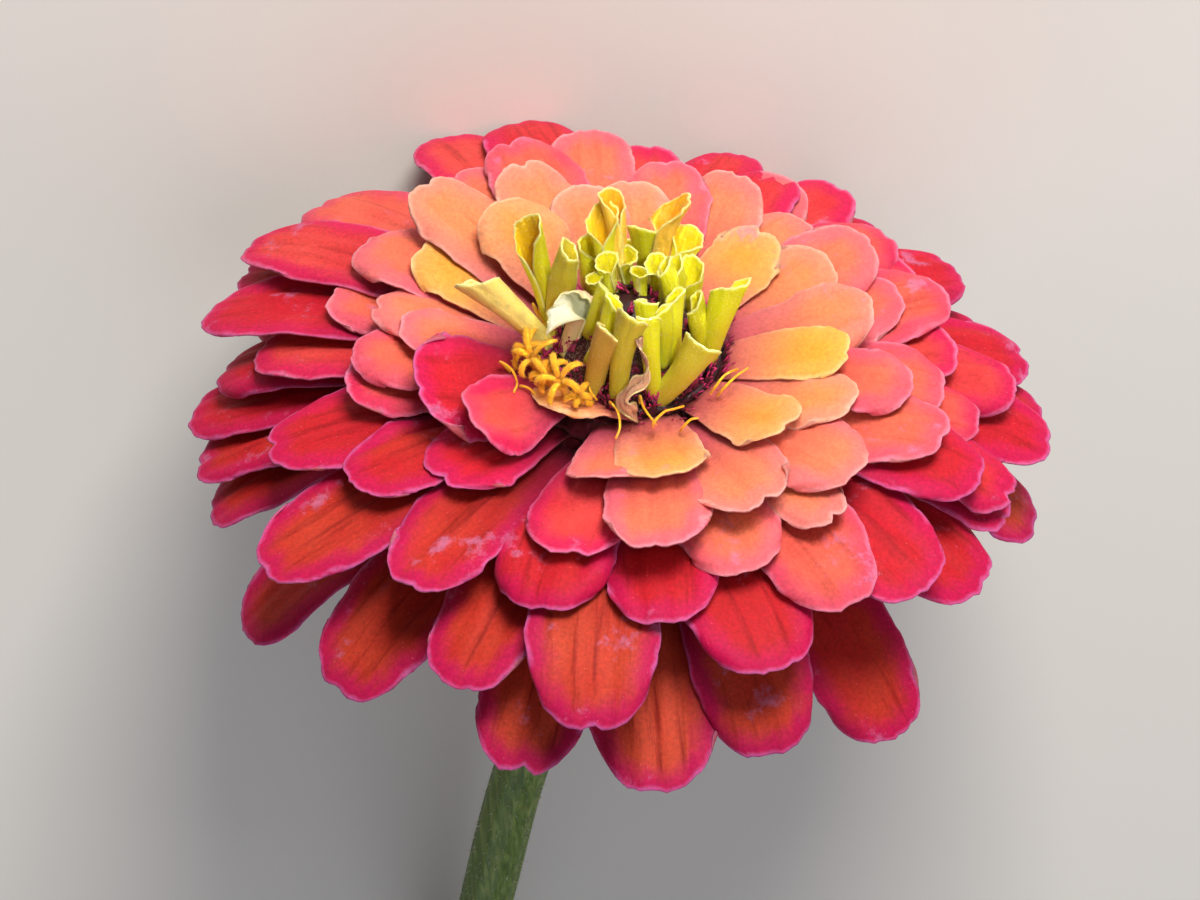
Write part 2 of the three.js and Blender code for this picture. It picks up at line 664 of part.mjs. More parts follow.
function discFlorets() {
  const { places, pad } = FLORETS;
  const steps = 8;
  const sections = Array.from({ length: steps + 1 }, (_, step) => {
    const azimuth = mix(pad.from, pad.to, step / steps);
    return [polar(pad.inner, azimuth, pad.foot), polar(pad.inner, azimuth, pad.top),
      polar(pad.outer, azimuth, pad.top), polar(pad.outer, azimuth, pad.foot)];
  });
  const stars = places.map(([azimuth, height]) => floretSolid(degrees(azimuth), height));
  return joined([lofted(sections), ...stars]);
}

// The cup of bracts

function cupWallAt(height) {
  const below = CUP_WALL.findIndex(([, level]) => level <= height);
  const [[r0, z0], [r1, z1]] = [CUP_WALL[below - 1], CUP_WALL[below]];
  return mix(r0, r1, (height - z0) / (z1 - z0));
}

function bractSolid({ foot, tip, width }, azimuth) {
  const rows = BRACT_SHAPE.map(([share, broad]) => {
    const height = mix(foot, tip, share);
    const radius = cupWallAt(height) + mix(BRACT_STANDS.foot, BRACT_STANDS.tip, share);
    return [0.5, 0, -0.5].map((edge) => {
      const turn = azimuth + (edge * broad * width) / radius;
      return { point: polar(radius, turn, height), normal: polar(1, turn, BRACT_FACES).normalize() };
    });
  });
  return bladeFrom(rows, FLESHY_THICK);
}

function involucre() {
  const inner = UNDERSIDE.slice(1, -1).map(([radius, height]) => [radius + GAP, height]);
  const lowest = CUP_WALL.at(-1)[1];
  const cup = turned([...CUP_WALL.toReversed(), CUP_BRIM, ...inner, [UNDERSIDE.at(-1)[0] + 2 * GAP, lowest]]);
  const bracts = BRACT_ROWS.flatMap((row) => Array.from({ length: row.count }, (_, place) => (
    bractSolid(row, row.turn + (2 * Math.PI * place) / row.count))));
  return joined([cup, ...bracts]);
}

// The stem, with the receptacle it swells into and the disc's cone on top, grown as one

function stemSolid() {
  const end = new THREE.Vector3(STEM_END.across, 0, STEM_END.along);
  const lean = new THREE.Vector3(0, 0, -1);
  end.y = (DISC_HEIGHT + end.z * UP.z - STEM_RADIUS * Math.cos(AXIS_RISE) + PRESS) / -UP.y;
  const line = new THREE.CatmullRomCurve3([...STEM_LINE.map((p) => new THREE.Vector3(...p)), end]);
  const rings = [];
  for (const [radius, height] of [...CONE.toReversed(), ...UNDERSIDE]) {
    rings.push(circle(new THREE.Vector3(0, 0, height), lean, radius, STEM_SIDES));
  }
  for (let step = 1; step <= STEM_STEPS; step += 1) {
    const share = step / STEM_STEPS;
    const radius = mix(UNDERSIDE.at(-1)[0], STEM_RADIUS, Math.min(1, share / STEM_NECK));
    rings.push(circle(line.getPointAt(share), line.getTangentAt(share), radius, STEM_SIDES).map(onGround));
  }
  return lofted(rings);
}

// The flower

const petals = allPetals();
const rolls = rollLines();

const PIECES = {
  stem: { solid: stemSolid(), colour: '#4f6b2c', roughness: 0.62 },
  involucre: { solid: involucre(), colour: '#5c7434', roughness: 0.66 },
  outer_rays: { solid: rayGroup(petals, GROUPS[2]), colour: '#c8293a', roughness: 0.58 },
  middle_rays: { solid: rayGroup(petals, GROUPS[1]), colour: '#e2524f', roughness: 0.58 },
  inner_rays: { solid: rayGroup(petals, GROUPS[0]), colour: '#f0916a', roughness: 0.58 },
  young_rays: { solid: youngRays(rolls), colour: '#b3b13a', roughness: 0.5 },
  disc_florets: { solid: discFlorets(), colour: '#e8a818', roughness: 0.6 },
  chaff: { solid: chaffRing(rolls), colour: '#6e1f33', roughness: 0.7 },
};

function meshOf(name, { solid, colour, roughness }) {
  const { vertProperties, triVerts } = solid.getMesh();
  const geometry = new THREE.BufferGeometry();
  geometry.setAttribute('position', new THREE.BufferAttribute(vertProperties, 3));
  geometry.setIndex(new THREE.BufferAttribute(triVerts, 1));
  geometry.computeVertexNormals();
  const material = new THREE.MeshStandardMaterial({ color: colour, roughness, metalness: 0 });
  const mesh = new THREE.Mesh(geometry, material);
  mesh.name = name;
  return mesh;
}

const flower = new THREE.Group();
for (const [name, piece] of Object.entries(PIECES)) flower.add(meshOf(name, piece));
flower.rotation.x = AXIS_RISE - Math.PI / 2;
flower.position.z = DISC_HEIGHT;
flower.updateMatrixWorld(true);

// The origin is under the middle of the flower, on the ground
const middle = new THREE.Box3().setFromObject(flower, true).getCenter(new THREE.Vector3());
flower.position.x -= middle.x;
flower.position.y -= middle.y;

export default flower;
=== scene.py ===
"""A double zinnia, cut and laid down, made fine: its petals, young rolls, florets, chaff, bracts and stem"""

import math

import bpy
import numpy as np
from mathutils import Matrix, Vector


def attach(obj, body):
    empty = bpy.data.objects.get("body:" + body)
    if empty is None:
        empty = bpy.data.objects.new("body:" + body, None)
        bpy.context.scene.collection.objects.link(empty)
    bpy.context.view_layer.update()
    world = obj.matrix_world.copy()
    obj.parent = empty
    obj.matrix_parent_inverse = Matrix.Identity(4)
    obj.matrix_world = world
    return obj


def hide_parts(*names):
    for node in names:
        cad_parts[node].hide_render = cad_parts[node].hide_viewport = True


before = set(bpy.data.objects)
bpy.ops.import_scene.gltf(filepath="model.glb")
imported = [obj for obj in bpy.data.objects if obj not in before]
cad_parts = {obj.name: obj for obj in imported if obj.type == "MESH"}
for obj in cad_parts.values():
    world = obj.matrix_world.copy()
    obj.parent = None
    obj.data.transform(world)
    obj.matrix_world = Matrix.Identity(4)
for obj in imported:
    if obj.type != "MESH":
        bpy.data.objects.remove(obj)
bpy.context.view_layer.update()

# All sizes are millimetres in the bloom's own frame: its axis along +Z, its face upwards, its origin at the
# foot of the disc. A finished mesh is brought to metres and laid down with the flower.
MM = 0.001
AXIS_RISE = math.radians(20)  # of the bloom's axis over the ground
DISC_HEIGHT = 44.6  # of the bloom's origin over the ground
CONE_TOP = 8.1  # the disc's highest point over the bloom's origin
SAME_PLACE = 1e-6  # metres
UP = np.array([0, -math.cos(AXIS_RISE), math.sin(AXIS_RISE)])
Y, Z = 1, 2  # a point's place along these axes


def bloom_to_world():
    """The matrix that lays the bloom's frame down, with the top of the cone where the solids have it"""
    lay = Matrix.Rotation(AXIS_RISE - math.pi / 2, 4, "X")
    axis = lay @ Vector((0, 0, 1))
    places = [vertex.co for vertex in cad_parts["stem"].data.vertices]
    highest = max(place.dot(axis) for place in places)
    top = [place for place in places if place.dot(axis) > highest - SAME_PLACE]
    middle = sum(top, Vector()) / len(top)
    return Matrix.Translation(middle - axis * CONE_TOP * MM) @ lay


TO_WORLD = bloom_to_world()


def polar(radius, azimuth, height):
    return np.stack(np.broadcast_arrays(radius * np.cos(azimuth), radius * np.sin(azimuth), height), -1)


def unit(vector):
    return vector / np.linalg.norm(vector, axis=-1, keepdims=True)


SPAN_STEPS = 40  # of a smooth line, between two of the points given


def smooth_line(points, count):
    """Points evenly along a smooth curve through the points given, with the curve's direction at each"""
    points = [np.array(point, float) for point in points]
    points = [2 * points[0] - points[1], *points, 2 * points[-1] - points[-2]]
    fine = []
    for p0, p1, p2, p3 in zip(points, points[1:], points[2:], points[3:]):
        d0, d1, d2 = (math.sqrt(np.linalg.norm(b - a)) for a, b in ((p0, p1), (p1, p2), (p2, p3)))
        leave = ((p1 - p0) / d0 - (p2 - p0) / (d0 + d1) + (p2 - p1) / d1) * d1
        arrive = ((p2 - p1) / d1 - (p3 - p1) / (d1 + d2) + (p3 - p2) / d2) * d1
        t = np.linspace(0, 1, SPAN_STEPS, endpoint=False)[:, None]
        fine.append(p1 + leave * t + (-3 * p1 + 3 * p2 - 2 * leave - arrive) * t ** 2
                    + (2 * p1 - 2 * p2 + leave + arrive) * t ** 3)
    fine = np.concatenate([*fine, [points[-2]]])
    length = np.r_[0, np.cumsum(np.linalg.norm(np.diff(fine, axis=0), axis=1))]
    places = np.linspace(0, length[-1], count)
    line = np.stack([np.interp(places, length, fine[:, k]) for k in range(3)], -1)
    return line, unit(np.gradient(line, axis=0))


def ease(share):
    share = np.clip(share, 0, 1)
    return share * share * (3 - 2 * share)


# The picture that the petals' places were read from: a far camera that looks down on the bloom

BLOOM_WIDTH = 90
MM_PER_PIXEL = BLOOM_WIDTH / 836
ELEVATION = math.radians(42)
ROLL = math.radians(3)
DISTANCE = 620
DISC_PIXEL = (632, 358)
PICTURE_SIZE = (1200, 900)

TOWARD_CAMERA = np.array([0, -math.cos(ELEVATION), math.sin(ELEVATION)])
LEVEL_UP = np.array([0, math.sin(ELEVATION), math.cos(ELEVATION)])
LEVEL_RIGHT = np.array([1, 0, 0])
PICTURE_RIGHT = LEVEL_RIGHT * math.cos(ROLL) - LEVEL_UP * math.sin(ROLL)
PICTURE_UP = LEVEL_UP * math.cos(ROLL) + LEVEL_RIGHT * math.sin(ROLL)
EYE = TOWARD_CAMERA * DISTANCE


def seen_through(across, down):
    """The point that a pixel shows on the plane through the bloom's origin that faces the camera"""
    right, up = (across - DISC_PIXEL[0]) * MM_PER_PIXEL, (DISC_PIXEL[1] - down) * MM_PER_PIXEL
    return PICTURE_RIGHT * right + PICTURE_UP * up


def sight(across, down):
    """The direction in which the camera sees a pixel"""
    return unit(seen_through(across, down) - EYE)


def seen_where(across, down, axis, level):
    """The point that a pixel shows where the axis given is at a level"""
    direction = sight(across, down)
    return EYE + direction * ((level - EYE[axis]) / direction[axis])


# Where the petals are. Each follows one arch, turned up or down about one point of the axis.

HUB_HEIGHT, HUB_ROOT = -9, 12
ARCH_BEND, ARCH_OVER, ARCH_POWER = math.radians(15), 30, 1.25
FAN_HIGHEST, FAN_LOWEST, FAN_FIRST, FAN_LAST = math.radians(42), math.radians(-12), -0.02, 0.9
HEAP = {"radius": 45.5, "above": 17.5, "below": 24, "middle": -14, "power": 2.6}
GROUPS = {"inner_rays": (-0.05, 0.27), "middle_rays": (0.27, 0.5), "outer_rays": (0.5, 0.93)}
GROUP_CLEARANCE = 0.04
LEAST_APART, APART_REACH, APART_EDGE = 0.07, math.radians(25), math.radians(9)
SPREAD_ROUNDS, SPREAD_PUSH, SPREAD_HOLD = 120, 0.25, 0.08
SLIDE_NEARER, SLIDE_FARTHER, SLIDE_STEP = 16, 18, 0.1
LONGEST = 51
SEARCH_STEP, SEARCH_END, SEARCH_HALF = 0.5, 60, 60  # millimetres
HALVINGS = 20  # of the last step, to find a place exactly
PRESS = 0.5

# Of each row: the tier that its petals are drawn to, and how much. Of each tip: its pixel across and down,
# the petal's width in millimetres, how far its colour has gone from the young yellow, 0, to the old crimson,
# 1, and, of some, the degrees that the blade is turned about its length and the millimetres that its foot is
# to the side.
SEEN_ROWS = {
    "hanging": (0.8, 0.15, [
        (240, 634, 11.5, 0.85), (335, 694, 14, 0.95), (455, 690, 12, 0.9), (517, 776, 13, 0.97),
        (660, 795, 14, 1), (780, 755, 12.5, 0.97), (902, 738, 12, 0.9), (206, 512, 11, 0.85),
        (197, 468, 11, 0.85), (985, 590, 13, 0.8),
    ]),
    "crimson": (0.55, 0.15, [
        (587, 730, 14, 0.95), (264, 575, 14, 0.9), (405, 588, 12.5, 0.85), (535, 603, 13, 0.8),
        (668, 622, 12.5, 0.78), (778, 672, 13.5, 0.82), (930, 590, 13.5, 0.72), (1012, 518, 8, 0.72),
        (1019, 492, 9, 0.7), (266, 452, 13, 0.78), (347, 482, 11.5, 0.82), (189, 410, 12, 0.75),
        (213, 368, 11, 0.7), (206, 312, 12, 0.68), (243, 268, 10, 0.62), (238, 236, 11, 0.56),
        (1020, 385, 10, 0.56), (984, 418, 10, 0.54), (960, 352, 11, 0.55), (910, 265, 10, 0.52),
    ]),
    "coral": (0.38, 0.15, [
        (434, 474, 12, 0.7), (566, 556, 11.5, 0.62), (662, 550, 11.5, 0.36), (753, 568, 11, 0.42),
        (858, 603, 12, 0.5), (984, 478, 12, 0.7), (252, 350, 11.5, 0.6), (258, 312, 11, 0.52),
        (291, 262, 11.5, 0.52), (315, 200, 12.5, 0.46), (342, 384, 10, 0.52), (349, 350, 10, 0.44),
        (735, 152, 10, 0.62), (780, 167, 9, 0.6), (838, 190, 11, 0.6), (890, 228, 11, 0.52),
        (950, 292, 12, 0.5), (646, 148, 10, 0.54), (948, 384, 11, 0.46), (785, 178, 11, 0.38),
        (800, 212, 10, 0.34), (872, 240, 11, 0.36), (903, 295, 11, 0.4),
    ]),
    "far coral": (0.25, 0.85, [(440, 139, 11.5, 0.56), (515, 113, 12, 0.62)]),
    "salmon": (0.2, 0.15, [
        (672, 477, 10, 0.13), (765, 507, 11, 0.28), (858, 472, 11, 0.32), (836, 522, 8, 0.3),
        (948, 440, 11, 0.44), (603, 482, 9.5, 0.36), (329, 298, 10, 0.42), (358, 238, 11, 0.4),
        (372, 300, 9.5, 0.3), (398, 322, 9, 0.34), (510, 136, 10.5, 0.42), (585, 131, 10.5, 0.42),
        (450, 169, 10, 0.42), (672, 158, 10, 0.38), (738, 172, 10, 0.3), (914, 384, 9.5, 0.42),
    ]),
    "lapped": (0.26, 0.6, [(831, 260, 11, 0.24)]),
    "raised": (0.05, 0.7, [
        (467, 418, 8.5, 0.56, -28), (412, 386, 12, 0.7, -26), (540, 408, 7, 0.08, 0, 6),
    ]),
    "apricot": (0.07, 0.15, [
        (793, 424, 8.5, 0.1), (851, 345, 8, 0), (856, 400, 9, 0.2), (874, 300, 10, 0.28),
        (768, 230, 9, 0.04), (418, 246, 10, 0.06), (420, 185, 10, 0.26), (495, 199, 10, 0.14),
        (517, 163, 9.5, 0.27), (577, 185, 9.5, 0.24), (633, 178, 9.5, 0.24),
    ]),
}
BACK_WEIGHT, BEHIND_FROM, BEHIND_OVER = 0.85, 0.6, 0.3  # petals behind the disc are drawn to their tier more

# Of each unseen row at the back: its tier, its first and last azimuth in degrees, its count and width, and
# how far its colour has gone
BACK_ROWS = [(0.53, -4, 132, 8, 12, 0.72), (0.65, 6, 160, 9, 12.5, 0.84), (0.78, -8, 172, 8, 12.5, 0.95)]
BACK_JITTER = math.radians(3)
LAYOUT_SEED = 20260


def seeded_random(seed):
    """Draws from 0 to 1 that are the same each time"""
    low = 0xFFFFFFFF
    state = seed

    def draw():
        nonlocal state
        state = (state + 0x6D2B79F5) & low
        word = ((state ^ (state >> 15)) * (1 | state)) & low
        word = ((word + (((word ^ (word >> 7)) * (61 | word)) & low)) & low) ^ word
        return (word ^ (word >> 14)) / (low + 1)
    return draw


def bend_at(reach):
    return ARCH_BEND * (np.maximum(0, reach - HUB_ROOT) / ARCH_OVER) ** ARCH_POWER


def arch(tier, azimuth, reach):
    """The point of the arch of a tier, at a reach from the hub"""
    angle = FAN_HIGHEST + (FAN_LOWEST - FAN_HIGHEST) * tier - bend_at(reach)
    return polar(reach * np.cos(angle), azimuth, HUB_HEIGHT + reach * np.sin(angle))


def reach_of(tip):
    return math.sqrt(tip[0] ** 2 + tip[1] ** 2 + (tip[2] - HUB_HEIGHT) ** 2)


def tier_of(tip):
    angle = math.atan2(tip[2] - HUB_HEIGHT, math.hypot(tip[0], tip[1])) + bend_at(reach_of(tip))
    return (FAN_HIGHEST - angle) / (FAN_HIGHEST - FAN_LOWEST)


def outside_heap(point):
    """How far a point is outside the rounded heap that the tips end on"""
    rise = point[2] - HEAP["middle"]
    half = HEAP["above"] if rise > 0 else HEAP["below"]
    flat = math.hypot(point[0], point[1]) / HEAP["radius"]
    return flat ** HEAP["power"] + (abs(rise) / half) ** HEAP["power"] - 1


def first_past(is_past, start, end, step):
    """The first place on a path that is past a limit"""
    place = start
    while place < end:
        if is_past(place):
            before, after = place - step, place
            for _ in range(HALVINGS):
                middle = (before + after) / 2
                before, after = (before, middle) if is_past(middle) else (middle, after)
            return after
        place += step
    return None


def tip_seen_at(direction):
    """The point of the heap that a pixel shows, or the nearest to it on the line of sight"""
    near, far = DISTANCE - SEARCH_HALF, DISTANCE + SEARCH_HALF
    miss = lambda reach: outside_heap(EYE + direction * reach)
    hit = first_past(lambda reach: miss(reach) < 0, near, far, SEARCH_STEP)
    if hit is None:
        hit = min(np.arange(near, far, SEARCH_STEP), key=miss)
    return EYE + direction * hit


def seen_petals():
    petals = []
    for row_tier, row_weight, tips in SEEN_ROWS.values():
        for across, down, width, age, *bent in tips:
            turn, swerve = (*bent, 0, 0)[:2]
            direction = sight(across, down)
            tip = tip_seen_at(direction)
            behind = ease((unit(tip[:2])[1] - BEHIND_FROM) / BEHIND_OVER)
            weight = row_weight + (BACK_WEIGHT - row_weight) * behind
            tier = tier_of(tip) + (row_tier - tier_of(tip)) * weight
            petals.append({
                "tip": tip, "width": width, "tier": tier, "sight": direction, "age": age, "turn": turn,
                "swerve": swerve})
    return petals


def back_petals():
    draw = seeded_random(LAYOUT_SEED)
    petals = []
    for tier, first, last, count, width, age in BACK_ROWS:
        for place in range(count):
            azimuth = math.radians(first + (last - first) * place / (count - 1))
            azimuth += BACK_JITTER * (2 * draw() - 1)
            is_out = lambda far: outside_heap(arch(tier, azimuth, far)) > 0
            reach = first_past(is_out, HUB_ROOT, SEARCH_END, SEARCH_STEP)
            petals.append({
                "tip": arch(tier, azimuth, reach), "width": width * (0.92 + 0.14 * draw()), "tier": tier,
                "sight": np.array([0, 0, 1]), "age": age, "turn": 0, "swerve": 0})
    return petals


def push_apart(petals, pairs):
    """Pushes apart the tiers of the petals that lie over one another, by as much as their widths overlap"""
    for one, other, need in pairs:
        gap = petals[other]["tier"] - petals[one]["tier"]
        if abs(gap) < need:
            push = SPREAD_PUSH * (need - abs(gap)) * (-1 if gap < 0 else 1)
            petals[one]["tier"] -= push
            petals[other]["tier"] += push


def spread_tiers(petals):
    """Spreads the petals over the fan, then settles them in their groups"""
    azimuths = [math.atan2(petal["tip"][1], petal["tip"][0]) for petal in petals]
    pairs = []
    for one in range(len(petals)):
        for other in range(one + 1, len(petals)):
            turn = abs(azimuths[one] - azimuths[other])
            apart = min(turn, 2 * math.pi - turn)
            if apart < APART_REACH:
                pairs.append((one, other, LEAST_APART * min((APART_REACH - apart) / APART_EDGE, 1)))
    wanted = [petal["tier"] for petal in petals]
    for _ in range(SPREAD_ROUNDS):
        push_apart(petals, pairs)
        for petal, tier in zip(petals, wanted):
            tier = petal["tier"] + (tier - petal["tier"]) * SPREAD_HOLD
            petal["tier"] = min(max(tier, FAN_FIRST), FAN_LAST)
    for petal in petals:
        petal["group"] = next(name for name, (_, to) in GROUPS.items() if petal["tier"] < to)
    for _ in range(SPREAD_ROUNDS):
        push_apart(petals, pairs)
        for petal, tier in zip(petals, wanted):
            low, high = GROUPS[petal["group"]]
            tier = petal["tier"] + (tier - petal["tier"]) * SPREAD_HOLD
            petal["tier"] = min(max(tier, low + GROUP_CLEARANCE), high - GROUP_CLEARANCE)


def settled_tip(petal):
    """A petal's tip, once it has slid along its line of sight as near to the petal's tier as it may"""
    slid = lambda slide: petal["tip"] + petal["sight"] * slide
    miss = lambda slide: abs(tier_of(slid(slide)) - petal["tier"])
    best = 0
    slide = -SLIDE_NEARER
    while slide <= SLIDE_FARTHER:
        if reach_of(slid(slide)) <= LONGEST and miss(slide) < miss(best):
            best = slide
        slide += SLIDE_STEP
    return slid(best)


def all_petals():
    petals = seen_petals() + back_petals()
    spread_tiers(petals)
    for petal in petals:
        tip = settled_tip(petal)
        azimuth, tier = math.atan2(tip[1], tip[0]), petal["tier"]
        reach = min(reach_of(tip), LONGEST)
        is_low = lambda far: DISC_HEIGHT + arch(tier, azimuth, far) @ UP < -PRESS
        petal["azimuth"] = azimuth
        petal["reach"] = first_past(is_low, HUB_ROOT, reach, SEARCH_STEP) or reach
    return petals


# Meshes

class Sheet:
    """Points, faces and values of a mesh that is gathered piece by piece"""

    def __init__(self):
        self.points, self.faces, self.flat, self.values, self.count = [], [], [], {}, 0

    def add(self, points, faces, flat=None, **values):
        points = np.asarray(points).reshape(-1, 3)
        self.points.append(points)
        self.faces.extend([[corner + self.count for corner in face] for face in faces])
        self.flat.append(np.zeros((len(points), 2)) if flat is None else np.asarray(flat).reshape(-1, 2))
        for name, value in values.items():
            value = np.asarray(value, float)
            width = 3 if value.shape[-1:] == (3,) else 1
            spread = np.broadcast_to(value.reshape(-1, width), (len(points), width))
            self.values.setdefault(name, []).append(spread)
        self.count += len(points)

    def mesh(self, name):
        """The mesh, in metres, still in the bloom's frame"""
        mesh = bpy.data.meshes.new(name)
        mesh.from_pydata(np.concatenate(self.points) * MM, [], self.faces)
        mesh.polygons.foreach_set("use_smooth", np.ones(len(mesh.polygons), bool))
        corners = np.zeros(len(mesh.loops), np.int32)
        mesh.loops.foreach_get("vertex_index", corners)
        laid_flat = mesh.uv_layers.new(name="flat")
        laid_flat.data.foreach_set("uv", np.concatenate(self.flat)[corners].ravel())
        for label, values in self.values.items():
            values = np.concatenate(values)
            if values.shape[1] == 3:
                attribute = mesh.attributes.new(label, "FLOAT_COLOR", "POINT")
                attribute.data.foreach_set("color", np.c_[values, np.ones(len(values))].ravel())
            else:
                attribute = mesh.attributes.new(label, "FLOAT", "POINT")
                attribute.data.foreach_set("value", values.ravel())
        return mesh


def new_object(name, data):
    made = bpy.data.objects.new(name, data)
    bpy.context.scene.collection.objects.link(made)
    return made


def lay_down(name, mesh, node, material=None):
    """Makes a mesh of the bloom's frame into a piece of the flower that stands for a node of the solids. What
    would go through the ground is pressed flat on it."""
    mesh.transform(TO_WORLD)
    places = np.zeros(len(mesh.vertices) * 3)
    mesh.vertices.foreach_get("co", places)
    places[2::3] = np.maximum(0, places[2::3])
    mesh.vertices.foreach_set("co", places)
    if material:
        mesh.materials.append(material)
    piece = new_object(name, mesh)
    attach(piece, "root")
    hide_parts(node)


def grid_faces(rows, columns, closed=False):
    """Faces of a grid of points, row by row, seen anticlockwise from where along crosses across"""
    faces = []
    for row in range(rows - 1):
        for column in range(columns if closed else columns - 1):
            a, b = row * columns + column, row * columns + (column + 1) % columns
            faces.append((a, a + columns, b + columns, b))
    return faces


def round_the_axis(sides):
    """Azimuths evenly round the bloom's axis"""
    return np.linspace(0, 2 * math.pi, sides, endpoint=False)


def ring_faces(rings, sides):
    """Faces of a closed ring round the axis, whose outline goes down on the outside and up on the inside"""
    last = (rings - 1) * sides
    return grid_faces(rings, sides, closed=True) + [
        (last + side, side, (side + 1) % sides, last + (side + 1) % sides) for side in range(sides)]


def blade(middle, normal, thick):
    """A closed blade about a grid of middle points: its points and faces, with the upper face first"""
    rows, columns = middle.shape[:2]
    count = rows * columns
    half = normal * (np.broadcast_to(thick, (rows, columns))[..., None] / 2)
    points = np.concatenate([(middle + half).reshape(-1, 3), (middle - half).reshape(-1, 3)])
    faces = grid_faces(rows, columns)
    faces += [tuple(corner + count for corner in reversed(face)) for face in faces]
    rim = list(range(columns))
    rim += [row * columns + columns - 1 for row in range(1, rows)]
    rim += [(rows - 1) * columns + column for column in range(columns - 2, -1, -1)]
    rim += [row * columns for row in range(rows - 2, 0, -1)]
    faces += [(a, b, b + count, a + count) for a, b in zip(rim, rim[1:] + rim[:1])]
    return points, faces


def grid_normals(grid):
    return unit(np.cross(np.gradient(grid, axis=0), np.gradient(grid, axis=1)))


def edge_distance(grid):
    """Distance of each point of a grid to the grid's rim, without the row at its root"""
    rim = np.concatenate([grid[-1], grid[1:, 0], grid[1:, -1]])
    return np.linalg.norm(grid[:, :, None] - rim[None, None], axis=-1).min(-1)


# Petals

PETAL_ROWS, PETAL_COLUMNS, ROWS_CROWD, COLUMNS_CROWD = 30, 25, 1.5, 0.92 * math.pi / 2
CLAW, INNER_CLAW, WIDEST, TIP_NARROWS, CUPPED, TWIST = 0.3, 0.35, 0.74, 0.16, 0.08, math.radians(3)
PETAL_THICK, RIM_THIN, RIM_WIDE = 0.46, 0.42, 1.1  # in the middle, the share of it at the rim, and the rim
INNER_TIERS, CLAW_CLIMB, CLAW_REACH = 0.45, 2.4, 9  # how the claws of the inner petals climb to the disc
PETAL_SEED = 7
# Waves of the end, the blade and its two sides: how many, and how deep in millimetres
TEETH = [(8, 0.12), (17, 0.07), (29, 0.04)]
RIPPLES = [((1.2, 2), 0.34), ((3, 4.4), 0.14)]
FRAYS = [(3.1, 0.16), (7.3, 0.09), (13, 0.05)]
NOTCH_DEEP, NOTCH_ASIDE, NOTCH_WIDE = (-0.5, 0.7), 0.15, 0.12
END_LONGEST, END_ROUND = 0.4, 0.86
# Folds along the blade: their places across it, how far these wander, their depths and their half width
FOLD_PLACES, FOLD_WANDER, FOLD_DEPTHS, FOLD_WIDE = [-0.45, -0.06, 0.4], 0.08, (0.2, 0.7), 0.14
CURLS, EDGE_CURL, TIP_CURL, SWAY = (-0.7, 1.3), 3.2, 0.9, 0.7
FLAT_SHIFT = (23.0, 7.0)  # from one petal's place on the flat pattern to the next one's


def side_waves(draw, often, s, v):
    """Waves along a petal, with another start on each of its sides"""
    return np.sin(2 * math.pi * (often * s + draw.uniform(size=2)[(v > 0).astype(int)]))


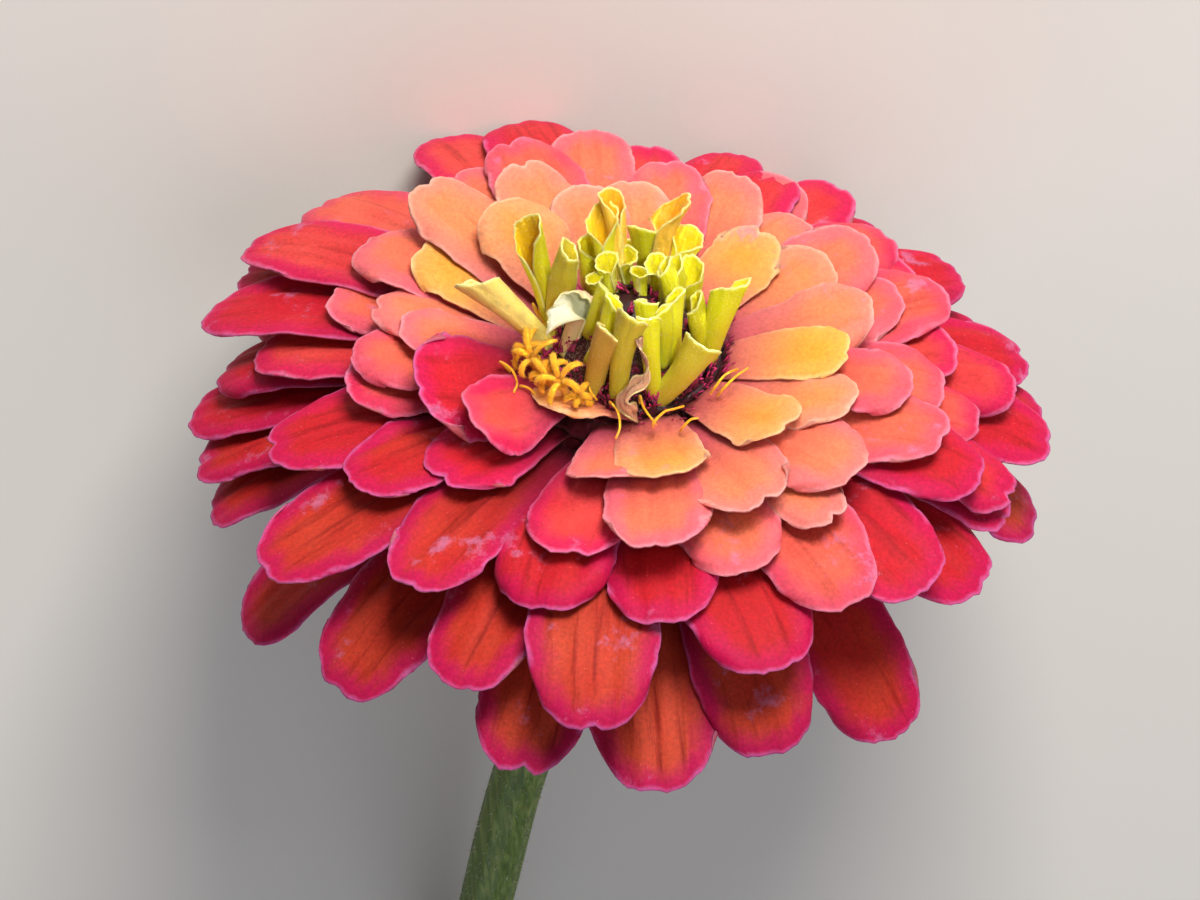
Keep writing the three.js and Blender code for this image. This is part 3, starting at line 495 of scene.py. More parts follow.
def petal_grid(petal, draw):
    """Middle points of a petal laid flat, with its length along X and its width along Y, and how many
    millimetres along and across it each is. Along, s goes from 0 at the claw to 1 at the end. Across, v goes
    from -1 to 1."""
    half, length, old = petal["width"] / 2, petal["reach"] - HUB_ROOT, petal["age"]
    along = 1 - (1 - np.linspace(0, 1, PETAL_ROWS)) ** ROWS_CROWD
    across = np.sin(np.linspace(-1, 1, PETAL_COLUMNS) * COLUMNS_CROWD) / math.sin(COLUMNS_CROWD)
    s, v = np.meshgrid(along, across, indexing="ij")

    # The end is round, toothed and, of some, notched
    notch = max(0, draw.uniform(*NOTCH_DEEP)) * s ** 8
    notch = notch * np.exp(-((v - draw.uniform(-NOTCH_ASIDE, NOTCH_ASIDE)) / NOTCH_WIDE) ** 2)
    teeth = sum(deep * np.sin(often * v + draw.uniform(0, 6)) for often, deep in TEETH) * (0.6 + 0.5 * old)
    pull = min(END_LONGEST, END_ROUND * half / length) * (1 - (1 - 0.985 * np.abs(v) ** 2.5) ** 0.45) * s ** 3
    pull = pull + (notch + (teeth + 0.25) * s ** 8) / length
    place = HUB_ROOT + length * s * (1 - pull)

    # The blade widens from its claw, and its sides fray
    inner = 1 - ease(petal["tier"] / INNER_TIERS)
    claw = CLAW + INNER_CLAW * inner
    widens = np.sin(np.minimum(s / WIDEST, 1) * math.pi / 2) ** 1.2
    past = np.maximum(0, (s - WIDEST) / (1 - WIDEST))
    wide = half * (claw + (1 - claw) * widens) * (1 - TIP_NARROWS * past ** 2)
    ripple = sum(deep * side_waves(draw, draw.uniform(*often), s, v) for often, deep in RIPPLES)
    frays = sum(deep * side_waves(draw, often, s, v) for often, deep in FRAYS) * np.sign(v) * v ** 6 * s
    side = wide * v + frays
    sway = draw.uniform(-SWAY, SWAY) * np.sin(math.pi * s) + petal["swerve"] * (1 - s)

    # It is cupped, folded and turned about its length, its rim ripples and curls, and its claw climbs
    places, depths = draw.normal(FOLD_PLACES, FOLD_WANDER), draw.uniform(*FOLD_DEPTHS, 3) * (0.4 + 0.8 * old)
    folds = sum(depth * np.exp(-((v - at) / FOLD_WIDE) ** 2) for at, depth in zip(places, depths))
    folds = folds * ease(s / 0.3) * (1 - 0.55 * ease((s - 0.7) / 0.3))
    left_curl, right_curl, end_curl = draw.uniform(*CURLS, 3) * (0.7 + 0.5 * old)
    curl = np.where(v < 0, left_curl, right_curl) * np.maximum(0, np.abs(v) - 0.5) ** 2 * EDGE_CURL * s ** 2
    curl = curl + end_curl * TIP_CURL * past ** 2
    turn = TWIST + math.radians(petal["turn"]) * ease(s / 0.6) + draw.uniform(-0.05, 0.05)
    cup = -CUPPED * v * v * s * half + np.tan(turn) * wide * v
    climb = inner * CLAW_CLIMB * (1 - ease((place - HUB_ROOT) / CLAW_REACH))
    lift = cup - folds - curl + ripple * np.sign(v) * np.abs(v) ** 3 * s + climb
    return np.stack([place, side + sway, lift], -1), place - HUB_ROOT, side


COLLAR_SIDES, COLLAR_FLUTES, FLUTE_DEEP = 180, 36, 0.18
COLLAR_SEAT, COLLAR_REACH, COLLAR_GAP = 8.5, 12.4, 0.15
FAR_FROM_RIM = 5


def collar_ring(sheet, low_tier, high_tier, age):
    """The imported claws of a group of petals, fluted, down to the receptacle"""
    azimuth = round_the_axis(COLLAR_SIDES)
    fluted = COLLAR_REACH + FLUTE_DEEP * np.cos(azimuth * COLLAR_FLUTES)
    rows = []
    for tier, shift in [(high_tier, COLLAR_GAP), (low_tier, -COLLAR_GAP)]:
        angle = FAN_HIGHEST + (FAN_LOWEST - FAN_HIGHEST) * tier
        rows.append((tier, shift, np.full(COLLAR_SIDES, COLLAR_SEAT / math.cos(angle))))
    for share in np.linspace(0, 1, 5):
        shift = {0: -COLLAR_GAP, 1: COLLAR_GAP}.get(share, 0)
        rows.append((low_tier + (high_tier - low_tier) * share, shift, fluted))
    points = np.array([np.stack([place, 0 * place, 0 * place + shift], -1) for _, shift, place in rows])
    # At along 0 the whole ring takes the foot's dark maroon painted shade
    sheet.add(points, ring_faces(len(rows), COLLAR_SIDES), age=age, edge=FAR_FROM_RIM, under=0, along=0,
              tint=0, azimuth=np.tile(azimuth, len(rows)),
              tier=np.repeat([tier for tier, _, _ in rows], COLLAR_SIDES))


def petal_sheet(petals, low_tier, high_tier):
    """A group's petals and the ring of their claws, all laid flat"""
    sheet = Sheet()
    for number, petal in petals:
        draw = np.random.default_rng([PETAL_SEED, number])
        grid, along, across = petal_grid(petal, draw)
        edge = edge_distance(grid)
        thick = PETAL_THICK * (RIM_THIN + (1 - RIM_THIN) * ease(edge / RIM_WIDE))
        points, faces = blade(grid, grid_normals(grid), thick)
        flat = np.stack([across, along], -1).reshape(-1, 2) + np.multiply(FLAT_SHIFT, number)
        sheet.add(points, faces, flat=np.tile(flat, (2, 1)), age=petal["age"], edge=np.tile(edge.ravel(), 2),
                  under=np.repeat([0, 1], edge.size), along=np.tile((along / along.max()).ravel(), 2),
                  tint=draw.uniform(-1, 1), azimuth=petal["azimuth"], tier=petal["tier"])
    collar_ring(sheet, low_tier, high_tier, float(np.mean([petal["age"] for _, petal in petals])))
    return sheet


# Materials

def linear(hex_colour):
    """An sRGB hex colour as linear red, green, blue and alpha"""
    channels = [int(hex_colour[place:place + 2], 16) / 255 for place in (1, 3, 5)]
    return [*[c / 12.92 if c <= 0.04045 else ((c + 0.055) / 1.055) ** 2.4 for c in channels], 1]


# Sockets of a Mix node for colours, whose names its other kinds share: the share of the second colour, the
# two colours and the mixed one
SHARE, FIRST, SECOND, MIXED = 0, 6, 7, 2
COLOURS, TINTING = {"data_type": "RGBA"}, {"data_type": "RGBA", "blend_type": "MULTIPLY"}
SMOOTH, NUMBER = {"interpolation_type": "SMOOTHSTEP"}, {"data_type": "FLOAT"}
PLUS, MINUS, TIMES, OVER, TIMES_PLUS, SCALED = (
    {"operation": name} for name in ("ADD", "SUBTRACT", "MULTIPLY", "DIVIDE", "MULTIPLY_ADD", "SCALE"))


def add(tree, kind, settings=None, inputs=None):
    """Adds a node with its settings, a ramp's stops of place and hex colour among them, and its inputs, each
    a value or the socket of another node"""
    node = tree.nodes.new(kind)
    for name, value in (settings or {}).items():
        if name == "stops":
            points = node.color_ramp.elements
            while len(points) < len(value):
                points.new(0.5)
            for point, (place, colour) in zip(points, value):
                point.position, point.color = place, linear(colour)
        else:
            setattr(node, name, value)
    for name, value in (inputs or {}).items():
        if isinstance(value, bpy.types.NodeSocket):
            tree.links.new(value, node.inputs[name])
        else:
            node.inputs[name].default_value = value
    return node


def new_material(name):
    """A material with an empty tree, and the place of what it covers"""
    material = bpy.data.materials.new(name)
    material.use_nodes = True
    material.node_tree.nodes.clear()
    return material, material.node_tree, add(material.node_tree, "ShaderNodeTexCoord").outputs["Object"]


def end_material(tree, looks):
    """Ends a material's tree in a skin with these looks"""
    skin = add(tree, "ShaderNodeBsdfPrincipled", {}, looks)
    add(tree, "ShaderNodeOutputMaterial", {}, {"Surface": skin.outputs["BSDF"]})


PETAL_FACE = [
    (0, "#f2a93c"), (0.12, "#f09848"), (0.26, "#f08c62"), (0.4, "#ee7258"), (0.54, "#e6504a"),
    (0.68, "#cf2032"), (0.8, "#c6222a"), (0.9, "#ca3a2a"), (1, "#d04c34")]
PETAL_RIM = [
    (0, "#f3ae4c"), (0.2, "#ee9776"), (0.38, "#ea6a76"), (0.55, "#d82456"), (0.8, "#c81450"), (1, "#c41c56")]
PETAL_LIP = [(0, "#f6d090"), (0.25, "#f3b8aa"), (0.45, "#ea86a4"), (0.7, "#dc6aa8"), (1, "#d066aa")]
# The claw's ramp is partly the claw's own colour and, towards its dark old end, painted shade; the foot's
# maroon is painted shade
PETAL_CLAW_AND_SHADE = [(0, "#bc5a5e"), (0.4, "#a8385a"), (0.65, "#7c1028"), (1, "#4c0810")]
# The cream of the specks is painted glints
VEIN_RED, BRUISE_LILAC, GLINT_CREAM = "#7c0f14", "#cc86b4", "#ffd9c8"
FOOT_SHADE_MAROON, BACK_ROSE = "#3c0614", "#b06a66"


def velvet_petal(name, roughness, sheen_tint):
    """Petal velvet: a thin skin of tiny domed cells. It looks soft, with a pink bloom at a low angle, a deep
    pink rim, darker lengthwise veins, and a few bruised lilac patches."""
    material, tree, place = new_material(name)
    flat = add(tree, "ShaderNodeUVMap", {"uv_map": "flat"}).outputs["UV"]
    age, edge, tint, along, under = (
        add(tree, "ShaderNodeAttribute", {"attribute_name": label}).outputs["Fac"]
        for label in ("age", "edge", "tint", "along", "under"))

    # Blotches 6 mm across shift the colour a little, and so does each petal's own tint
    blotch = add(tree, "ShaderNodeTexNoise", {}, {
        "Vector": place, "Scale": 1 / (6 * MM), "Detail": 3}).outputs["Fac"]
    shift = add(tree, "ShaderNodeMath", TIMES_PLUS, {0: blotch, 1: 0.2, 2: -0.1}).outputs[0]
    own = add(tree, "ShaderNodeMath", TIMES_PLUS, {0: tint, 1: 0.035, 2: shift}).outputs[0]
    ripeness = add(tree, "ShaderNodeMath", {**PLUS, "use_clamp": True}, {0: age, 1: own}).outputs[0]
    face, rim, lip, claw = (
        add(tree, "ShaderNodeValToRGB", {"stops": stops}, {"Fac": ripeness}).outputs["Color"]
        for stops in (PETAL_FACE, PETAL_RIM, PETAL_LIP, PETAL_CLAW_AND_SHADE))

    # Veins 1.3 mm apart run the length of the petal
    stretched = add(tree, "ShaderNodeMapping", {}, {
        "Vector": flat, "Scale": (1 / 1.3, 1 / 16, 1)}).outputs["Vector"]
    vein = add(tree, "ShaderNodeTexNoise", {}, {
        "Vector": stretched, "Scale": 1, "Detail": 4, "Roughness": 0.6}).outputs["Fac"]
    dark = add(tree, "ShaderNodeMapRange", SMOOTH, {
        "Value": vein, "From Min": 0.5, "From Max": 0.72, "To Min": 0, "To Max": 0.75}).outputs[0]
    on_vein = add(tree, "ShaderNodeMath", TIMES, {0: dark, 1: age}).outputs[0]

    # The rim is about 2.5 mm wide, and frays along the veins; its lip is a thin pale line
    wander = add(tree, "ShaderNodeTexNoise", {}, {
        "Vector": place, "Scale": 1 / (2.6 * MM), "Detail": 4}).outputs["Fac"]
    frayed = add(tree, "ShaderNodeMath", TIMES_PLUS, {0: vein, 1: 2.4, 2: edge}).outputs[0]
    inward = add(tree, "ShaderNodeMath", TIMES_PLUS, {0: wander, 1: 2.2, 2: frayed}).outputs[0]
    on_rim = add(tree, "ShaderNodeMapRange", SMOOTH, {
        "Value": inward, "From Min": 2.9, "From Max": 5.4, "To Min": 1, "To Max": 0}).outputs[0]
    inward = add(tree, "ShaderNodeMath", TIMES_PLUS, {0: wander, 1: 0.7, 2: edge}).outputs[0]
    on_lip = add(tree, "ShaderNodeMapRange", SMOOTH, {
        "Value": inward, "From Min": 0.3, "From Max": 0.95, "To Min": 0.85, "To Max": 0}).outputs[0]

    # Bruises are pale lilac patches with frayed edges, a few millimetres across
    patch = add(tree, "ShaderNodeTexNoise", {}, {
        "Vector": place, "Scale": 1 / (7 * MM), "Detail": 8, "Roughness": 0.72}).outputs["Fac"]
    on_bruise = add(tree, "ShaderNodeMapRange", SMOOTH, {
        "Value": patch, "From Min": 0.59, "From Max": 0.69, "To Min": 0, "To Max": 0.5}).outputs[0]

    # Painted glints: cream specks 0.15 mm wide, where light sparkles on the velvet's cells
    glint_spots = add(tree, "ShaderNodeTexVoronoi", {}, {
        "Vector": place, "Scale": 1 / (0.9 * MM)}).outputs["Distance"]
    on_glint_speck = add(tree, "ShaderNodeMapRange", {}, {
        "Value": glint_spots, "From Min": 0.03, "From Max": 0.07, "To Min": 0.3, "To Max": 0}).outputs[0]

    # The claw and the blade's lower part are mauve or, on an old petal, dark crimson to near black: partly
    # the claw's own colour, partly painted shade under the petals above. The foot is dark maroon painted
    # shade, and the back of the petal is duller
    on_claw_and_shade = add(tree, "ShaderNodeMapRange", SMOOTH, {
        "Value": along, "From Min": 0.15, "From Max": 0.8, "To Min": 0.9, "To Max": 0}).outputs[0]
    on_foot = add(tree, "ShaderNodeMapRange", SMOOTH, {
        "Value": along, "From Min": 0, "From Max": 0.22, "To Min": 0.95, "To Max": 0}).outputs[0]
    on_back = add(tree, "ShaderNodeMath", TIMES, {0: under, 1: 0.62}).outputs[0]
    colour = face
    for share, other in [
            (on_vein, linear(VEIN_RED)), (on_rim, rim), (on_lip, lip), (on_bruise, linear(BRUISE_LILAC)),
            (on_glint_speck, linear(GLINT_CREAM)), (on_claw_and_shade, claw), (on_foot, linear(FOOT_SHADE_MAROON)),
            (on_back, linear(BACK_ROSE))]:
        colour = add(tree, "ShaderNodeMix", COLOURS, {
            SHARE: share, FIRST: colour, SECOND: other}).outputs[MIXED]

    # Cells 0.2 mm wide are drawn twice as wide, 0.4 mm, so that they show
    cells = add(tree, "ShaderNodeTexNoise", {}, {
        "Vector": place, "Scale": 1 / (0.4 * MM), "Detail": 2}).outputs["Fac"]
    grain = add(tree, "ShaderNodeMapRange", {}, {
        "Value": cells, "From Min": 0.3, "From Max": 0.7, "To Min": 0.86, "To Max": 1.12}).outputs[0]
    grey = add(tree, "ShaderNodeCombineColor", {}, {0: grain, 1: grain, 2: grain}).outputs[0]
    colour = add(tree, "ShaderNodeMix", TINTING, {SHARE: 1, FIRST: colour, SECOND: grey}).outputs[MIXED]
    heights = add(tree, "ShaderNodeMath", TIMES_PLUS, {0: cells, 1: 0.25, 2: vein}).outputs[0]
    bump = add(tree, "ShaderNodeBump", {}, {"Height": heights, "Strength": 0.5, "Distance": 0.25 * MM})
    end_material(tree, {
        "Base Color": colour, "Normal": bump.outputs["Normal"], "Roughness": roughness,
        "Specular IOR Level": 0.12, "Sheen Weight": 0.04, "Sheen Roughness": 0.45,
        "Sheen Tint": linear(sheen_tint),
        "Subsurface Weight": 0.12, "Subsurface Radius": (1, 0.35, 0.25), "Subsurface Scale": 1.2 * MM})
    return material


PETAL_FINISHES = {
    "outer_rays": ("crimson_petal", velvet_petal("Crimson petal velvet", 0.6, "#ff7aa8")),
    "middle_rays": ("coral_petal", velvet_petal("Coral petal velvet", 0.57, "#ff9db2")),
    "inner_rays": ("peach_petal", velvet_petal("Peach petal velvet", 0.54, "#ffc4a8")),
}

# Geometry Nodes trees, for what repeats or follows a path

def new_tree(name, sockets):
    """A tree that takes a geometry and named values, and what it is given"""
    tree = bpy.data.node_groups.new(name, "GeometryNodeTree")
    tree.interface.new_socket("Geometry", in_out="INPUT", socket_type="NodeSocketGeometry")
    for label, kind in sockets.items():
        tree.interface.new_socket(label, in_out="INPUT", socket_type="NodeSocket" + kind)
    tree.interface.new_socket("Geometry", in_out="OUTPUT", socket_type="NodeSocketGeometry")
    return tree, add(tree, "NodeGroupInput").outputs


def end_tree(tree, geometry, skin):
    real = add(tree, "GeometryNodeRealizeInstances", {}, {"Geometry": geometry})
    named = add(tree, "GeometryNodeSetMaterial", {}, {"Geometry": real.outputs[0], "Material": skin})
    add(tree, "NodeGroupOutput", {}, {"Geometry": named.outputs[0]})
    return tree


def scatter_tree():
    """Copies of an item all over a surface, each turned and leaned at random from the surface's normal"""
    tree, given = new_tree("Scattered over a surface", {
        "Item": "Object", "Density": "Float", "Smallest": "Float", "Largest": "Float", "Lean": "Float",
        "Seed": "Int", "Skin": "Material"})
    spots = add(tree, "GeometryNodeDistributePointsOnFaces", {}, {
        "Mesh": given["Geometry"], "Density": given["Density"], "Seed": given["Seed"]})
    any_way = add(tree, "FunctionNodeRandomValue", {"data_type": "FLOAT_VECTOR"}, {
        0: (-1, -1, -math.pi), 1: (1, 1, math.pi), 8: given["Seed"]})
    leaned = add(tree, "ShaderNodeVectorMath", SCALED, {0: any_way.outputs[0], 3: given["Lean"]})
    turn = add(tree, "FunctionNodeEulerToRotation", {}, {0: leaned.outputs[0]})
    rotation = add(tree, "FunctionNodeRotateRotation", {"rotation_space": "LOCAL"}, {
        0: spots.outputs["Rotation"], 1: turn.outputs[0]})
    size = add(tree, "FunctionNodeRandomValue", {}, {
        2: given["Smallest"], 3: given["Largest"], 8: given["Seed"]})
    item = add(tree, "GeometryNodeObjectInfo", {}, {"Object": given["Item"]})
    copies = add(tree, "GeometryNodeInstanceOnPoints", {}, {
        "Points": spots.outputs["Points"], "Instance": item.outputs["Geometry"],
        "Rotation": rotation.outputs[0], "Scale": size.outputs[1]})
    return end_tree(tree, copies.outputs[0], given["Skin"])


def ring_tree():
    """Copies of a shape turned about the bloom's axis"""
    tree, given = new_tree("Ring about the axis", {
        "Count": "Int", "Turn": "Float", "Jitter": "Float", "Smallest": "Float", "Largest": "Float",
        "Seed": "Int", "Skin": "Material"})
    points = add(tree, "GeometryNodePoints", {}, {"Count": given["Count"]})
    place = add(tree, "GeometryNodeInputIndex").outputs[0]
    share = add(tree, "ShaderNodeMath", OVER, {0: place, 1: given["Count"]}).outputs[0]
    angle = add(tree, "ShaderNodeMath", TIMES_PLUS, {
        0: share, 1: 2 * math.pi, 2: given["Turn"]}).outputs[0]
    chance = add(tree, "FunctionNodeRandomValue", {}, {2: -1, 3: 1, 8: given["Seed"]}).outputs[1]
    azimuth = add(tree, "ShaderNodeMath", TIMES_PLUS, {
        0: chance, 1: given["Jitter"], 2: angle}).outputs[0]
    turn = add(tree, "FunctionNodeAxisAngleToRotation", {}, {"Axis": (0, 0, 1), "Angle": azimuth})
    size = add(tree, "FunctionNodeRandomValue", {}, {
        2: given["Smallest"], 3: given["Largest"], 8: given["Seed"]}).outputs[1]
    copies = add(tree, "GeometryNodeInstanceOnPoints", {}, {
        "Points": points.outputs[0], "Instance": given["Geometry"], "Rotation": turn.outputs[0],
        "Scale": size})
    return end_tree(tree, copies.outputs[0], given["Skin"])


def stalk_tree():
    """Stalks along the edges of a mesh, as thick as its points say, round or with ribs along them"""
    tree, given = new_tree("Stalks along edges", {
        "Thick": "Float", "Sides": "Int", "Ribs": "Int", "Rib depth": "Float", "Skin": "Material"})
    path = add(tree, "GeometryNodeMeshToCurve", {}, {"Mesh": given["Geometry"]})
    taper = add(tree, "GeometryNodeInputNamedAttribute", NUMBER, {"Name": "taper"})
    circle = add(tree, "GeometryNodeCurvePrimitiveCircle", {}, {
        "Resolution": given["Sides"], "Radius": given["Thick"]})
    corner = add(tree, "GeometryNodeInputIndex").outputs[0]
    about = add(tree, "ShaderNodeMath", OVER, {0: corner, 1: given["Sides"]}).outputs[0]
    ribs = add(tree, "ShaderNodeMath", TIMES, {0: about, 1: given["Ribs"]}).outputs[0]
    turn = add(tree, "ShaderNodeMath", TIMES, {0: ribs, 1: 2 * math.pi}).outputs[0]
    wave = add(tree, "ShaderNodeMath", {"operation": "COSINE"}, {0: turn}).outputs[0]
    swell = add(tree, "ShaderNodeMath", TIMES_PLUS, {
        0: wave, 1: given["Rib depth"], 2: 1}).outputs[0]
    place = add(tree, "GeometryNodeInputPosition").outputs[0]
    ribbed = add(tree, "ShaderNodeVectorMath", SCALED, {0: place, 3: swell}).outputs[0]
    profile = add(tree, "GeometryNodeSetPosition", {}, {"Geometry": circle.outputs[0], "Position": ribbed})
    stalk = add(tree, "GeometryNodeCurveToMesh", {}, {
        "Curve": path.outputs[0], "Profile Curve": profile.outputs[0], "Scale": taper.outputs[0],
        "Fill Caps": True})
    return end_tree(tree, stalk.outputs[0], given["Skin"])


def petal_tree():
    """Petals that lie flat, with their length along X, are laid along the arch of their tier and turned to
    their azimuth"""
    tree, given = new_tree("Petals along their arch", {
        "Hub height": "Float", "Hub root": "Float", "Over": "Float", "Bend": "Float", "Power": "Float",
        "Highest": "Float", "Lowest": "Float", "Skin": "Material"})
    place = add(tree, "GeometryNodeInputPosition").outputs[0]
    flat = add(tree, "ShaderNodeSeparateXYZ", {}, {0: place}).outputs
    tier, azimuth = (
        add(tree, "GeometryNodeInputNamedAttribute", NUMBER, {"Name": label}).outputs[0]
        for label in ("tier", "azimuth"))
    past = add(tree, "ShaderNodeMath", MINUS, {0: flat[0], 1: given["Hub root"]}).outputs[0]
    share = add(tree, "ShaderNodeMath", OVER, {0: past, 1: given["Over"]}).outputs[0]
    share = add(tree, "ShaderNodeMath", {"operation": "MAXIMUM"}, {0: share, 1: 0}).outputs[0]
    rate = add(tree, "ShaderNodeMath", {"operation": "POWER"}, {0: share, 1: given["Power"]}).outputs[0]
    bend = add(tree, "ShaderNodeMath", TIMES, {0: rate, 1: given["Bend"]}).outputs[0]
    fan = add(tree, "ShaderNodeMapRange", {"clamp": False}, {
        "Value": tier, "To Min": given["Highest"], "To Max": given["Lowest"]}).outputs[0]
    angle = add(tree, "ShaderNodeMath", MINUS, {0: fan, 1: bend}).outputs[0]

    # The blade's normal leans back from the arm's by the arch's slope
    swept = add(tree, "ShaderNodeMath", TIMES, {0: bend, 1: flat[0]}).outputs[0]
    grows = add(tree, "ShaderNodeMath", OVER, {0: swept, 1: past}).outputs[0]
    steep = add(tree, "ShaderNodeMath", TIMES, {0: grows, 1: given["Power"]}).outputs[0]
    slope = add(tree, "ShaderNodeMath", {"operation": "ARCTANGENT"}, {0: steep}).outputs[0]
    lean = add(tree, "ShaderNodeMath", MINUS, {0: angle, 1: slope}).outputs[0]

    arm = add(tree, "ShaderNodeCombineXYZ", {}, {"X": flat[0]}).outputs[0]
    arm = add(tree, "ShaderNodeVectorRotate", {"rotation_type": "Y_AXIS", "invert": True}, {
        "Vector": arm, "Angle": angle}).outputs[0]
    stands = add(tree, "ShaderNodeCombineXYZ", {}, {"Y": flat[1], "Z": flat[2]}).outputs[0]
    stands = add(tree, "ShaderNodeVectorRotate", {"rotation_type": "Y_AXIS", "invert": True}, {
        "Vector": stands, "Angle": lean}).outputs[0]
    hub = add(tree, "ShaderNodeCombineXYZ", {}, {"Z": given["Hub height"]}).outputs[0]
    raised = add(tree, "ShaderNodeVectorMath", PLUS, {0: arm, 1: hub}).outputs[0]
    laid = add(tree, "ShaderNodeVectorMath", PLUS, {0: raised, 1: stands}).outputs[0]
    turned = add(tree, "ShaderNodeVectorRotate", {"rotation_type": "Z_AXIS"}, {
        "Vector": laid, "Angle": azimuth}).outputs[0]
    petals = add(tree, "GeometryNodeSetPosition", {}, {"Geometry": given["Geometry"], "Position": turned})
    return end_tree(tree, petals.outputs[0], given["Skin"])


def grown(name, tree, mesh, values):
    """The plain mesh that a tree makes of a mesh"""
    holder = new_object(name, mesh)
    modifier = holder.modifiers.new(name, "NODES")
    modifier.node_group = tree
    for socket in tree.interface.items_tree:
        if socket.in_out == "INPUT" and socket.name in values:
            modifier[socket.identifier] = values[socket.name]
    depsgraph = bpy.context.evaluated_depsgraph_get()
    plain = bpy.data.meshes.new_from_object(
        holder.evaluated_get(depsgraph), preserve_all_data_layers=True, depsgraph=depsgraph)
    bpy.data.objects.remove(holder)
    return plain


SCATTERED, RING, STALKS, ARCHED = scatter_tree(), ring_tree(), stalk_tree(), petal_tree()

numbered_petals = list(enumerate(all_petals()))
for group, (slot_name, material) in PETAL_FINISHES.items():
    members = [(number, petal) for number, petal in numbered_petals if petal["group"] == group]
    petals = grown(group, ARCHED, petal_sheet(members, *GROUPS[group]).mesh(group), {
        "Hub height": HUB_HEIGHT * MM, "Hub root": HUB_ROOT * MM, "Over": ARCH_OVER * MM, "Bend": ARCH_BEND,
        "Power": ARCH_POWER, "Highest": FAN_HIGHEST, "Lowest": FAN_LOWEST, "Skin": material})
    lay_down(group + "_petals", petals, group)


def hair_item(name, thick):
    """One hair, 1 mm long: a cone with three sides"""
    corners = polar(thick, round_the_axis(3), 0)
    sheet = Sheet()
    sheet.add([*corners, (0, 0, 1)], [(2, 1, 0), (0, 1, 3), (1, 2, 3), (2, 0, 3)])
    item = new_object(name, sheet.mesh(name))
    item.hide_render = True
    return item


# Young rays: petals still rolled up, crowded round the disc

CONE = [(8.2, 0), (7.5, 0.6), (7, 2.2), (5.9, 4.6), (4.1, 6.6), (2, 7.7), (0.3, 8.1)]
GAP = 0.3
SHELL_THICK, LOWEST_ROLL, HIGHEST_ROLL = 1, 2.6, 6.6
FRONT_FOOT, SUNK_FOOT = 3.2, 0.9  # a roll whose foot is lower than the first starts as low as the second

# Colour inside, colour outside
ROLL_COLOURS = {
    "lime": ("#f2e81a", "#d8d816"), "olive": ("#ecd830", "#d8cc34"), "gold": ("#ffd000", "#e8e41c"),
    "amber": ("#ffb408", "#f6c440"), "brown": ("#ecc43c", "#d6ae40"), "cream": ("#ffe48c", "#ffe27c"),
    "pale": ("#dcdcc0", "#e0bc98"),
}

# Pixels of the foot and of the lip, the roll's width at its lip in millimetres, how far it leans towards the
# camera, its colour, how far its mouth has opened and, of some, the azimuth that the mouth faces, in degrees
ROLLS = [
    # behind
    (614, 262, 611, 190, 2.1, -3, "amber", 0.35), (600, 258, 600, 208, 2.8, -2, "gold", 0.7),
    (646, 304, 643, 222, 2.9, 0, "lime", 0.25, 60), (660, 258, 669, 192, 3.4, -4, "amber", 0.95),
    (680, 266, 690, 228, 2.9, -3, "gold", 0.6, -125),
    # middle
    (556, 335, 572, 242, 3, 0, "olive", 0.25), (596, 300, 592, 238, 2.5, 0, "lime", 0.3),
    (615, 300, 618, 244, 2.7, -1, "lime", 0.45), (664, 318, 663, 262, 1.9, 0, "lime", 0.2),
    (672, 312, 675, 262, 2, 0, "lime", 0.25), (689, 312, 693, 264, 2.5, 0, "lime", 0.4),
    # front
    (592, 362, 619, 300, 2.4, 2, "lime", 0.3), (591, 392, 614, 326, 2.8, 3, "brown", 0.35),
    (616, 403, 634, 306, 2.7, 3, "olive", 0.5, 40), (653, 385, 648, 312, 1.9, 2, "lime", 0.2),
    (650, 362, 647, 296, 2, 1, "lime", 0.3), (661, 364, 661, 306, 1.7, 2, "lime", 0.2),
    (674, 362, 673, 293, 2.2, 1, "lime", 0.15), (698, 346, 693, 296, 2.2, 1, "lime", 0.3),
    (712, 355, 734, 276, 3, 1, "lime", 0.4, 100), (661, 406, 707, 338, 3.2, 3, "olive", 0.3, 75),
    # left
    (590, 334, 610, 286, 2.2, 1, "lime", 0.3), (566, 352, 590, 286, 3.6, 1, "pale", 0.85, -70),
    (545, 326, 524, 219, 2.8, -1, "gold", 0.42, -115), (546, 341, 468, 274, 3.2, 0, "cream", 0.4, 80),
]
# The youngest rolls, on the top of the cone: pixels of foot and lip, width and how far its mouth has opened
SMALL_ROLLS = [(613, 290, 606, 258, 2, 0.5), (600, 299, 594, 276, 1.7, 0.4), (629, 281, 627, 252, 1.9, 0.5),
               (641, 297, 639, 270, 1.5, 0.15), (656, 292, 656, 260, 2, 0.6), (664, 302, 668, 270, 1.7, 0.45)]
SMALL_ROLL_HEIGHT = 7.2
ROLL_ROWS, ROLL_COLUMNS = 26, 33
ROLL_THICK, ROLL_RIM_THIN, ROLL_RIM_WIDE, WITHERED_THICK = 0.34, 0.45, 0.8, 0.3
# Half turns of a closed roll's sheet to each side of its back, and how many of them opening takes
CLOSED, UNROLLS = 1.08, 0.6
OPENS_FROM, LIP_FROM, FLARE_FROM = 0.45, 0.55, 0.88  # shares of a roll's length
FLARE = 0.18  # millimetres that the mouth widens at its very end
OVERLAP, FOOT_NARROW, FOOT_OVER = 0.13, 0.74, 0.85
ROLL_WAVES = [(5, 0.05), (9, 0.04)]
NOD = (1.7, -0.9, -2)  # how far a nodding roll's lip goes to the side, outwards and up, in millimetres
ROLL_SHADES, SMALL_ROLLS_FACE = (0.88, 1.08), (-150, 20)
FLAT_ROLL_STEPS = (2.0, 3.0)  # rows and columns of a roll to a millimetre of the flat pattern
ROLL_SEED = 31

